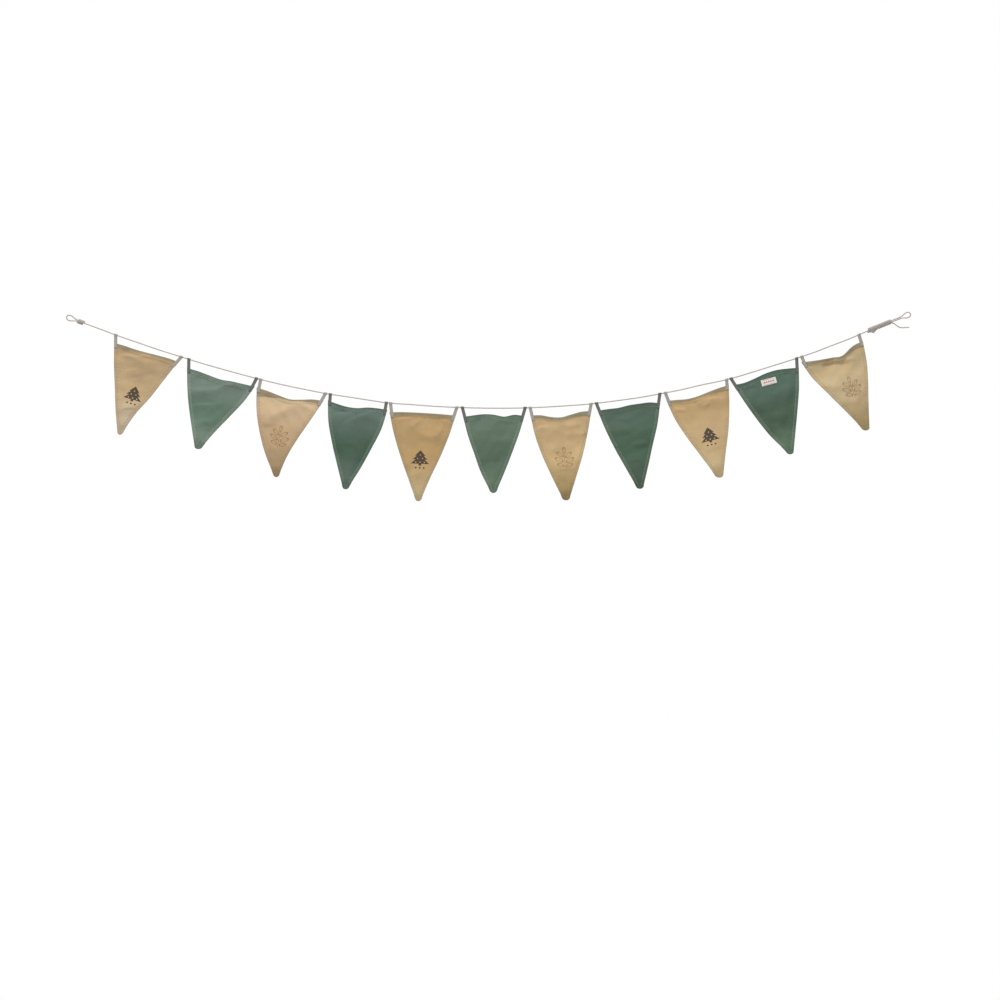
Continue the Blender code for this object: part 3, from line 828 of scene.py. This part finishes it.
def make_stitching(number):
    """The seams' stitches on both faces of a pennant."""
    pennant = PENNANTS[number - 1]
    rows = []
    for across, down in seam_runs(pennant):
        facts = np.column_stack(cloth_at(number, across, down))
        placed, ahead = evenly_along(facts, STITCH_PITCH)
        side, top, tip = placed[:, 3:].T
        normal = cloth_normal(number, placed[:, 0], placed[:, 2], side, top)
        lift = (thickness(side, top, tip) / 2)[:, None] + STITCH_LIFT
        for face in (1, -1):
            rows.append((placed[:, :3] + face * lift * normal, ahead[:, :3], face * normal))
    look = thread_material(f"thread_{number:02d}", PENNANT_TONES[number - 1].thread)
    return make_stitches(f"stitching_{number:02d}", look, rows)


# Tapes and label


def line_at(route, x):
    """Point and direction of the line at x, both as (x, z)."""
    after = int(np.searchsorted(route[:, 0], x))
    start, end = route[after - 1], route[after]
    share = (x - start[0]) / (end[0] - start[0])
    return start + (end - start) * share, unit(end - start)


def tape_section(length):
    """A tape's section from its front end over the cord to its back end: below, above, depth."""
    over = CORD_DIAMETER / 2 + CLEARANCE + TAPE_THICKNESS / 2 + LOOP_SLACK
    flat = (SOLID_CLOTH_THICKNESS + TAPE_THICKNESS) / 2 + CLEARANCE
    below = np.linspace(length, 0, round(length / TAPE_STEP) + 1)
    out = over + (flat - over) * smooth_step(0, TAPE_PINCH, below)
    front = parts(below, 0, -out)
    angle = np.linspace(0, math.pi, TAPE_ARC_STEPS + 1)[1:-1]
    arc = parts(0, over * np.sin(angle), -over * np.cos(angle))
    return np.vstack([front, arc, front[::-1] * (1, 1, -1)])


def make_tape(number, side, route, material, thread):
    """A tape folded over the cord and sewn to both faces of the cloth, with its box of stitches."""
    pennant = PENNANTS[number - 1]
    hold, along = line_at(route, pennant.loops[0 if side < 0 else 1])
    up = np.array((-along[1], along[0]))
    edge_length = abs(edge_of(pennant, side)[0][1] - pennant.tip[1])
    edge = np.array(edge_point(pennant, side, np.float64(TAPE_SEWN_LENGTH / edge_length)))
    leg = edge - (side * TAPE_WIDTH / 2, 0) - hold
    length, down = np.linalg.norm(leg), unit(leg)
    width = TAPE_WIDTH / abs(down[0] * along[1] - down[1] * along[0]) * along

    section = tape_section(length)
    across = np.linspace(-0.5, 0.5, TAPE_COLUMNS + 1)
    middle = hold + section[:, :1] * down + section[:, 1:2] * up
    points = at_depth(middle[:, None] + across[:, None] * width, section[:, 2:])
    flat = parts(across * TAPE_WIDTH, travelled(section)[:, None], 0) * MM
    place = f"{number:02d}_{'left' if side < 0 else 'right'}"
    shares = np.ones(points.shape[:2])
    shares[:, (0, -1)] = TAPE_RIM_SHARE
    tape = make_sheet(f"tape_{place}", material, points, {"flat": flat}, TAPE_THICKNESS, shares)
    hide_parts(f"loop_{place}")

    low, high = length - TAPE_BOX_END, length - TAPE_BOX_END - TAPE_BOX[1]
    half = TAPE_BOX[0] / TAPE_WIDTH / 2
    box = [(low, -half), (low, half), (high, half), (high, -half), (low, -half)]
    corners = [hold + below * down + share * width for below, share in box]
    outer = -section[0, 2] + TAPE_THICKNESS / 2 + STITCH_LIFT
    return tape, straight_stitches(f"box_stitching_{place}", thread, zip(corners, corners[1:]),
                                   TAPE_STITCH_PITCH, outer, (-1, 1))


def make_label():
    """The woven label, and the stitches across its two short ends."""
    along = np.array((math.cos(LABEL_TILT), math.sin(LABEL_TILT)))
    down = np.array((along[1], -along[0]))
    length, height = LABEL_SIZE
    outer = (SOLID_CLOTH_THICKNESS + LABEL_THICKNESS) / 2 + CLEARANCE
    across = np.linspace(-0.5, 0.5, LABEL_CELLS[0] + 1)
    below = np.linspace(-0.5, 0.5, LABEL_CELLS[1] + 1)[:, None] * height
    ripple = LABEL_RIPPLE * np.sin(math.pi * (across + 0.5)) ** 2 * np.sin(below / LABEL_RIPPLE_LENGTH)
    across = across * length
    spots = LABEL_CENTRE + across[:, None] * along + below[..., None] * down
    flat = parts(across, -below, 0) * MM
    label = make_sheet("label_cloth", label_material(), at_depth(spots, -outer - ripple),
                       {"flat": flat}, LABEL_THICKNESS, np.ones(ripple.shape))
    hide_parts("woven_label")
    reach = (height / 2 - LABEL_SEAM_INSET) * down
    middles = [LABEL_CENTRE + side * (length / 2 - LABEL_SEAM) * along for side in (-1, 1)]
    lines = [(middle - reach, middle + reach) for middle in middles]
    outer += LABEL_THICKNESS / 2 + STITCH_LIFT
    thread = thread_material("label_thread", LABEL_TONE)
    return label, straight_stitches("label_stitching", thread, lines,
                                    LABEL_STITCH_PITCH, outer, (-1,))


# Cord


def straight(start, end):
    """Points a rope step apart on the straight run between two points."""
    count = max(2, round(math.dist(start, end) / ROPE_STEP) + 1)
    return np.linspace(start, end, count)


def knotted_end(start, end, neck, swell, last_angle, tail):
    """Route of the cord from the line through a knot, round its eye, back, and in turns round itself.

    start is the knot's end at the line, end the one at the eye; tail is the free end's route.
    Places in the knot are (along it, across it, depth).
    """
    start, end = np.array(start), np.array(end)
    along = unit(end - start)
    root = np.linalg.norm(end - start) + CLEARANCE
    half = [(root, CORD_STRAND_OFFSET), *((root + neck + run, wide) for run, wide in EYE_OUTLINE)]
    eye = smooth_route(half + [(run, -wide) for run, wide in reversed(half[:-1])], ROPE_STEP)
    turns = round((root - 2 * KNOT_START - last_angle / (2 * math.pi) * KNOT_PITCH) / KNOT_PITCH)
    angle = np.linspace(KNOT_FIRST_ANGLE, 2 * math.pi * (turns + 1) + last_angle, KNOT_STEPS * turns)
    run = np.linspace(KNOT_START, root - KNOT_START, len(angle))
    lump = swell * fading(run - KNOT_SWELL_AT, KNOT_SWELL_REACH)
    wide, deep = KNOT_TURN_RADII
    across = -lump + (wide + lump) * np.cos(angle)
    wraps = parts(run, across, -(deep + KNOT_SWELL_DEPTH * lump) * np.sin(angle))
    entry = (-CLEARANCE, 0, 0), (4, 1.1, 0), (9, KNOT_CORE, 0)
    bight = (1.5, -KNOT_CORE, 0), (-1, -2.3, 0), (-2.4, -3.7, 0.1), (-1.6, -5.4, 0.6)
    sections = [
        smooth_route(entry, ROPE_STEP),
        straight(entry[-1], (root, CORD_STRAND_OFFSET, 0)),
        parts(*eye.T, 0),
        straight((root, -CORD_STRAND_OFFSET, 0), bight[0]),
        smooth_route([*bight, wraps[0]], ROPE_STEP),
        wraps,
    ]
    if tail:
        leave = [(root + run, wide, 0) for run, wide in tail]
        sections.append(smooth_route([wraps[-1], *leave], ROPE_STEP))
    places = np.vstack(sections)
    aside = np.array((-along[1], along[0]))
    return at_depth(start + places[:, :1] * along + places[:, 1:2] * aside, places[:, 2])


def line_route():
    """Route of the line between its two knots."""
    left, right = np.array(LEFT_KNOT_END), np.array(RIGHT_KNOT_START)
    first = left + unit(left - LEFT_KNOT_START) * CLEARANCE
    last = right - unit(np.array(RIGHT_KNOT_END) - right) * CLEARANCE
    return smooth_route((first, *LINE_ROUTE, last), ROPE_STEP)


def cord_path(line):
    """Route of the whole cord, from its trimmed end in the left knot to its free end on the right."""
    left = knotted_end(LEFT_KNOT_END, LEFT_KNOT_START, LEFT_EYE_NECK, 0, math.pi / 2, ())
    right = knotted_end(RIGHT_KNOT_START, RIGHT_KNOT_END, RIGHT_EYE_NECK, RIGHT_KNOT_SWELL,
                        3 * math.pi / 4, TAIL_ROUTE)
    path = resampled(np.vstack([left[::-1], at_depth(line, 0), right]), ROPE_STEP)
    for _ in range(ROPE_SMOOTHING):
        path[1:-1] = (path[:-2] + 2 * path[1:-1] + path[2:]) / 4
    return path


def directions_across(path):
    """Two unit directions across a path that turn round it as little as they can."""
    ahead = unit(np.gradient(path, axis=0))
    aside = np.zeros_like(ahead)
    turning = np.array((0.0, 1.0, 0.0))
    for index, forward in enumerate(ahead):
        turning = unit(turning - forward * turning.dot(forward))
        aside[index] = turning
    return aside, np.cross(ahead, aside)


def make_rope(path):
    """The whole cord, three strands twisted together along the path."""
    aside, over = directions_across(path)
    far = travelled(path)[:, None]
    angle = 2 * math.pi * np.arange(ROPE_SIDES) / ROPE_SIDES
    groove = ROPE_GROOVE * (0.5 - 0.5 * np.cos(ROPE_STRANDS * angle))
    from_end = np.minimum(far, far[-1] - far)
    ending = 1 - ROPE_END_DRAW * fading(from_end, ROPE_END_REACH)
    radius = CORD_DIAMETER / 2 * (1 - groove) * ending
    around = (angle + 2 * math.pi * far / ROPE_LAY)[..., None]
    out = np.cos(around) * aside[:, None] + np.sin(around) * over[:, None]
    points = path[:, None] + radius[..., None] * out
    ring = ROPE_SIDES * np.arange(len(path) - 1)[:, None]
    here = ring + np.arange(ROPE_SIDES)
    beside_here = ring + np.roll(np.arange(ROPE_SIDES), -1)
    corners = [here, beside_here, beside_here + ROPE_SIDES, here + ROPE_SIDES]
    faces = np.stack(corners, axis=-1).reshape(-1, 4).tolist()
    faces.append(list(range(ROPE_SIDES))[::-1])
    faces.append(list(range(ROPE_SIDES * (len(path) - 1), ROPE_SIDES * len(path))))
    strand = parts(np.cos(angle), np.sin(angle), far * MM)
    return make_piece("twisted_cord", cord_material(), points, faces[::-1], {"strand": strand})


# Materials


class Value:
    """A node's output that takes arithmetic: each step adds a node to its graph."""

    def __init__(self, graph, socket):
        self.graph = graph
        self.socket = socket

    def __add__(self, other):
        return self.graph.math("ADD", self, other)

    def __sub__(self, other):
        return self.graph.math("SUBTRACT", self, other)

    def __rsub__(self, other):
        return self.graph.math("SUBTRACT", other, self)

    def __mul__(self, other):
        return self.graph.math("MULTIPLY", self, other)

    def __pow__(self, other):
        return self.graph.math("POWER", self, other)

    def __abs__(self):
        return self.graph.math("ABSOLUTE", self)


class Graph:
    """The nodes of a material or world. Values and plain numbers mix as inputs."""

    def __init__(self, owner):
        self.owner = owner
        owner.use_nodes = True
        owner.node_tree.nodes.clear()

    def node(self, kind, inputs=(), **settings):
        """All outputs of a new node."""
        made = self.owner.node_tree.nodes.new(f"ShaderNode{kind}")
        for key, value in settings.items():
            setattr(made, key, value)
        for place, value in dict(inputs).items():
            if isinstance(value, Value):
                self.owner.node_tree.links.new(value.socket, made.inputs[place])
            else:
                made.inputs[place].default_value = value
        return [Value(self, socket) for socket in made.outputs]

    def math(self, operation, *values):
        return self.node("Math", enumerate(values), operation=operation)[0]

    def least(self, *values):
        return self.math("MINIMUM", *values)

    def most(self, *values):
        return self.math("MAXIMUM", *values)

    def within(self, value, low, high):
        """How deep a value lies between two others."""
        return self.least(value - low, high - value)

    def length(self, x, y):
        return self.math("SQRT", x**2 + y**2)

    def ramp(self, value, start, end, low=0, high=1):
        """Low up to start, high from end on, and smooth between."""
        inputs = enumerate((value, start, end, low, high))
        return self.node("MapRange", inputs, interpolation_type="SMOOTHSTEP")[0]

    def mixed(self, share, start, end):
        """A colour between two. Inputs 6 and 7 and output 2 of the node are its colours."""
        return self.node("Mix", {0: share, 6: start, 7: end}, data_type="RGBA")[2]

    def shaded(self, colour, factor):
        """A colour made lighter or darker."""
        return self.node("VectorMath", {0: colour, "Scale": factor}, operation="SCALE")[0]

    def attribute(self, name):
        _, vector, *_ = self.node("Attribute", attribute_name=name)
        return self.node("SeparateXYZ", {0: vector})

    def noise(self, *place, detail=2):
        place = self.node("CombineXYZ", enumerate(place))[0]
        inputs = {"Vector": place, "Scale": 1, "Detail": detail, "Roughness": 0.5}
        return self.node("TexNoise", inputs)[0]

    def patches(self, u, v, kind):
        return self.noise(u * kind.along, v * kind.up, kind.seed, detail=kind.detail)

    def waves(self, place, length):
        return self.math("COSINE", place * (math.pi / length))

    def weave(self, x, y, pitch):
        """Height of a plain weave's threads, from 0 between them to 1 on top."""
        return abs(self.waves(x, pitch) * self.waves(y, pitch))

    def finish(self, colour, height, roughness, sheen):
        """The material: cloth of this colour, its height in millimetres as a bump."""
        bump = self.node("Bump", {"Height": height, "Distance": MM, "Strength": 1})[0]
        return self.close({
            "Base Color": colour, "Normal": bump, "Roughness": roughness, "Sheen Weight": sheen,
            "Specular IOR Level": CLOTH_SPECULAR, "Sheen Roughness": CLOTH_SHEEN_ROUGHNESS,
        })

    def close(self, inputs, kind="BsdfPrincipled", output="OutputMaterial"):
        """The owner, its graph ended by a shader with these inputs."""
        self.node(output, {0: self.node(kind, inputs)[0]})
        return self.owner


def disc(paint, x, y, centre_x, centre_y, radius):
    """How deep a place lies inside a disc."""
    return radius - paint.length(x - centre_x, y - centre_y)


def tree_print(paint, x, y):
    """How deep a place lies inside a tree with lights, a trunk and a row of dots."""
    reach = abs(x)
    inside = -1
    for base, top, half in TREE_TIERS:
        slope = (top - y) * (half / (top - base)) - reach
        inside = paint.most(inside, paint.least(slope, y - base))
    for light in TREE_LIGHTS:
        inside = paint.least(inside, disc(paint, x, y, *light) * -1)
    low, high, half = TREE_TRUNK
    inside = paint.most(inside, paint.least(paint.within(y, low, high), half - reach))
    for dot in TREE_DOTS:
        inside = paint.most(inside, disc(paint, x, y, *dot))
    return inside


def sprig_print(paint, x, y):
    """How deep a place lies inside the drawn lines of a leafy sprig."""
    inside = paint.least(SPRIG_LINE - abs(x), paint.within(y, *SPRIG_STEM))
    for centre_x, centre_y, turn, half_length, half_width in SPRIG_LEAVES:
        cosine, sine = math.cos(math.radians(turn)), math.sin(math.radians(turn))
        across, above = x - centre_x, y - centre_y
        long, wide = across * cosine + above * sine, above * cosine - across * sine
        away = paint.length(long * (1 / half_length), wide * (1 / half_width)) - 1
        line = SPRIG_LINE - abs(away) * half_width
        vein = paint.least(SPRIG_VEIN - abs(wide), away * -half_width)
        inside = paint.most(inside, paint.most(line, vein))
    return inside


MOTIFS = {"tree": (tree_print, INK_DARK, 0.94), "sprig": (sprig_print, INK_BROWN, 0.8)}


def printed(paint, number, colour, u, v, wear):
    """The cloth's colour with its motif on its face, if it has one."""
    if number not in PRINTS:
        return colour
    pennant, row = PENNANTS[number - 1], PRINTS[number]
    across, up, _ = beside(pennant.left, pennant.right, *row.middle)
    motif, ink, strength = MOTIFS[row.motif]
    inside = motif(paint, u * (1 / MM) - across, v * (1 / MM) - up)
    worn = wear * PRINT_WEAR + PRINT_KEPT
    shown = paint.ramp(inside, -PRINT_SOFTNESS, PRINT_SOFTNESS, 0, strength) * worn
    _, normal, *_ = paint.node("TexCoord")
    facing = paint.node("SeparateXYZ", {0: normal})[1]
    return paint.mixed(shown * paint.ramp(facing, 0.1, -0.1), colour, seen(ink))


def hem_shade_reach(paint, pennant, shade, own, u):
    """How far down from the top edge the hem's painted shade reaches."""
    off_middle = u * (2 / (math.dist(pennant.left, pennant.right) * MM)) - 1
    at_left, in_middle, at_right = shade
    ragged = paint.noise(own * HEM_RAGGED_SCALE, *HEM_RAGGED_SPOT)
    reach = (ragged - 0.5) * HEM_SHADE_RAGGED + in_middle
    for sign, at_corner in ((-1, at_left), (1, at_right)):
        share = paint.most(off_middle * sign, 0) ** HEM_SHADE_FALL
        reach = reach + share * (at_corner - in_middle)
    return reach


def canvas_material(number):
    """Canvas with slubs, the pennant's worn print and painted shade at hems, edges, tip, seams, weave.
    """
    pennant, tones = PENNANTS[number - 1], PENNANT_TONES[number - 1]
    upper, middle, lower, tip_shade, hem, thread = map(seen, tones[:6])
    paint = Graph(bpy.data.materials.new(f"canvas_{number:02d}"))
    u, v, down = paint.attribute("flat")
    side, top, _ = paint.attribute("seam")
    own = u + OWN_CLOTH_SHIFT * number
    slow = paint.patches(own, v, SLOW_PATCHES)
    slub = (paint.patches(own, v, WEFT_SLUBS) + paint.patches(own, v, WARP_SLUBS)) * 0.5
    weave = paint.weave(own, v, WEAVE_PITCH * MM)

    level = (slow - 0.5) * TONE_WANDER + down
    colour = paint.mixed(paint.ramp(level, *UPPER_TO_MIDDLE), upper, middle)
    colour = paint.mixed(paint.ramp(level, *MIDDLE_TO_LOWER), colour, lower)
    share = paint.ramp(paint.patches(own, v, WARM_PATCHES), *MOTTLE_SPREAD, 0, MOTTLE_SHARE)
    colour = paint.mixed(share, colour, seen(MOTTLE_WARM[pennant.cloth]))

    # Painted shade under the rolled-back top hem, reaching further down near the corners
    under_hem = top - hem_shade_reach(paint, pennant, tones.shade, own, u) * MM
    painted_hem_shade = paint.ramp(under_hem, HEM_SHADE_SOFT * MM, -HEM_SHADE_SOFT * MM, 0, HEM_SHADE_SHARE)
    colour = paint.mixed(painted_hem_shade, colour, hem)
    # Tan pennants: painted shade along the side hems, in the hem tone; green ones: their thread's
    # lighter tone
    share = SIDE_TONE_SHARE[pennant.cloth]
    sides = paint.ramp(side, SIDE_HEM * MM, (SIDE_HEM - SIDE_TONE_SOFT) * MM, 0, share)
    colour = paint.mixed(sides, colour, thread if pennant.cloth == "green" else hem)
    # Painted shade at the tip
    colour = paint.mixed(paint.ramp(down, *LOWER_TO_TIP, 0, TIP_SHADE_SHARE), colour, tip_shade)
    # Painted shade at the very edges, in the hem tone
    rim = paint.ramp(paint.least(side, top), EDGE_SHADE_REACH * MM, 0, 0, EDGE_SHADE_SHARE)
    colour = printed(paint, number, paint.mixed(rim, colour, hem), u, v, slub)

    # Painted shade: darker in the dips along the seams, and through the weave term between the threads
    off_seam = paint.least(abs(side - SIDE_SEAM * MM), abs(top - TOP_SEAM * MM))
    seam = paint.ramp(off_seam, 0, SEAM_SHADE_REACH * MM, -SEAM_SHADE, 0)
    factor = slub * SLUB_SHADE + slow * SLOW_SHADE + weave * WEAVE_SHADE + seam + CANVAS_SHADE
    height = weave * WEAVE_HEIGHT + slub * SLUB_HEIGHT
    return paint.finish(paint.shaded(colour, factor), height, roughness=0.92, sheen=0.08)


def tape_material(name, tone):
    """Ribbed tape, with painted shade between its ribs."""
    paint = Graph(bpy.data.materials.new(name))
    u, v, _ = paint.attribute("flat")
    rib = abs(paint.waves(v, TAPE_RIB * MM))
    fibre, slow = paint.patches(u, v, TAPE_FIBRES), paint.patches(u, v, TAPE_PATCHES)
    # Painted shade: darker between the ribs
    colour = paint.shaded(seen(tone)[:3], rib * 0.16 + fibre * 0.18 + slow * 0.14 + 0.76)
    return paint.finish(colour, rib * 0.16 + fibre * 0.08, roughness=0.9, sheen=0.05)


def thread_material(name, tone):
    """Sewing thread."""
    paint = Graph(bpy.data.materials.new(name))
    _, _, _, place, *_ = paint.node("TexCoord")
    fibre = paint.noise(*(part * THREAD_FIBRES for part in paint.node("SeparateXYZ", {0: place})))
    colour = paint.shaded(seen(tone)[:3], fibre * 0.5 + 0.75)
    return paint.finish(colour, fibre * 0.06, roughness=0.75, sheen=0)


def cord_material():
    """Cotton cord: fibres that run with the strands, and painted shade in the grooves between them."""
    paint = Graph(bpy.data.materials.new("cotton_cord"))
    cosine, sine, along = paint.attribute("strand")
    ridge = paint.math("COSINE", paint.math("ARCTAN2", sine, cosine) * ROPE_STRANDS)
    around, lengthwise = CORD_FIBRES
    fibre = paint.noise(cosine * around, sine * around, along * lengthwise, detail=3)
    slow = paint.noise(along * CORD_PATCHES, 0, 2)
    # Painted shade: darker in the grooves between the strands
    factor = ridge * 0.15 + fibre * 0.3 + slow * 0.1 + 0.75
    colour = paint.shaded(seen(CORD_TONE)[:3], factor)
    return paint.finish(colour, fibre * 0.25, roughness=0.9, sheen=0.1)


def label_material():
    """Woven label: off-white, two thin red lines, a row of red diamonds, painted shade in its weave.
    """
    paint = Graph(bpy.data.materials.new("label_weave"))
    u, v, _ = paint.attribute("flat")
    x, high = u * (1 / MM), abs(v * (1 / MM))
    wide, tall = LABEL_DIAMOND
    cell = paint.math("PINGPONG", x, LABEL_DIAMOND_PITCH / 2)
    diamond = wide / 2 - (cell + high * (wide / tall))
    inside = paint.most(LABEL_LINE_WIDTH / 2 - abs(high - LABEL_LINE_AT), diamond)
    inside = paint.least(inside, LABEL_PATTERN_HALF - abs(x))
    shown = paint.ramp(inside, -LABEL_LINE_SOFTNESS, LABEL_LINE_SOFTNESS)
    colour = paint.mixed(shown, seen(LABEL_TONE), seen(LABEL_RED))
    weave, fine = paint.weave(u, v, LABEL_WEAVE_PITCH * MM), paint.patches(u, v, LABEL_FIBRES)
    # Painted shade: darker between the threads of the weave
    colour = paint.shaded(colour, weave * 0.08 + fine * 0.12 + 0.9)
    return paint.finish(colour, weave * 0.05 + fine * 0.03, roughness=0.7, sheen=0.05)


# Stage, light and camera


def make_camera():
    lens = bpy.data.cameras.new("camera")
    lens.sensor_width = SENSOR_WIDTH
    lens.lens = SENSOR_WIDTH * CAMERA_DISTANCE / PICTURE_WIDTH
    lens.clip_end = 100
    camera = add_to_scene("camera", lens)
    camera.location = (PICTURE_MIDDLE[0], -CAMERA_DISTANCE, PICTURE_MIDDLE[1])
    camera.rotation_euler = (math.pi / 2, 0, 0)
    bpy.context.scene.camera = camera


def make_light(name, place, size, energy):
    """A soft lamp that faces the middle of the bunting."""
    light = bpy.data.lights.new(name, "AREA")
    light.shape = "SQUARE"
    light.size = size
    light.energy = energy
    lamp = add_to_scene(name, light)
    lamp.location = place
    lamp.visible_camera = False
    aim = Vector((PICTURE_MIDDLE[0], 0, LIGHT_AIM)) - Vector(place)
    lamp.rotation_euler = aim.to_track_quat("-Z", "Y").to_euler()


def make_world():
    """Even daylight, and plain white where the camera sees past the bunting."""
    sky = Graph(bpy.data.worlds.new("daylight"))
    white = (1, 1, 1, 1)
    light = sky.node("Background", {"Color": white, "Strength": WORLD_STRENGTH})[0]
    backdrop = sky.node("Background", {"Color": white})[0]
    camera_ray = sky.node("LightPath")[0]
    shares = {0: camera_ray, 1: light, 2: backdrop}
    bpy.context.scene.world = sky.close(shares, "MixShader", "OutputWorld")


def make_floor():
    (left, right), (near, far) = FLOOR_ACROSS, FLOOR_DEPTH
    corners = ((left, near), (right, near), (right, far), (left, far))
    mesh = bpy.data.meshes.new("floor")
    mesh.from_pydata([(x, y, FLOOR_LEVEL) for x, y in corners], [], [(0, 1, 2, 3)])
    paint = Graph(bpy.data.materials.new("floor_paint"))
    mesh.materials.append(paint.close({"Base Color": seen(FLOOR_TONE), "Roughness": 0.8}))
    add_to_scene("floor", mesh)


def flat_size(number):
    """Finished size of a pennant laid flat: its top hem and length, and its area, in metres."""
    points = cloth_at(number, *pennant_grid(PENNANTS[number - 1]))[0] * MM
    top = travelled(points[0])[-1]
    length = travelled(points[:, points.shape[1] // 2])[-1]
    right, down = np.diff(points, axis=1)[:-1], np.diff(points, axis=0)[:, :-1]
    area = np.linalg.norm(np.cross(right, down), axis=-1).sum()
    return (round(top, 3), round(length, 3)), round(area, 4)


def main():
    make_camera()
    line = line_route()
    path = cord_path(line)
    rope = make_rope(path)
    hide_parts("line", "left_eye", "right_eye", "line_tail", "left_knot", "right_knot")

    tapes = {cloth: tape_material(f"{cloth}_tape", tone) for cloth, tone in TAPE_TONES.items()}
    threads = {
        cloth: thread_material(f"{cloth}_tape_thread", tone) for cloth, tone in TAPE_THREAD.items()
    }
    for number, pennant in enumerate(PENNANTS, 1):
        canvas = make_pennant(number)
        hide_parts(f"pennant_{number:02d}")
        pieces = [make_stitching(number)]
        for side in (-1, 1):
            pieces += make_tape(number, side, line, tapes[pennant.cloth], threads[pennant.cloth])
        if number == LABEL_PENNANT:
            pieces += make_label()
        flat, area = flat_size(number)

    make_world()
    for lamp in LAMPS:
        make_light(*lamp)
    make_floor()
    bpy.context.scene.view_settings.view_transform = "Standard"


main()
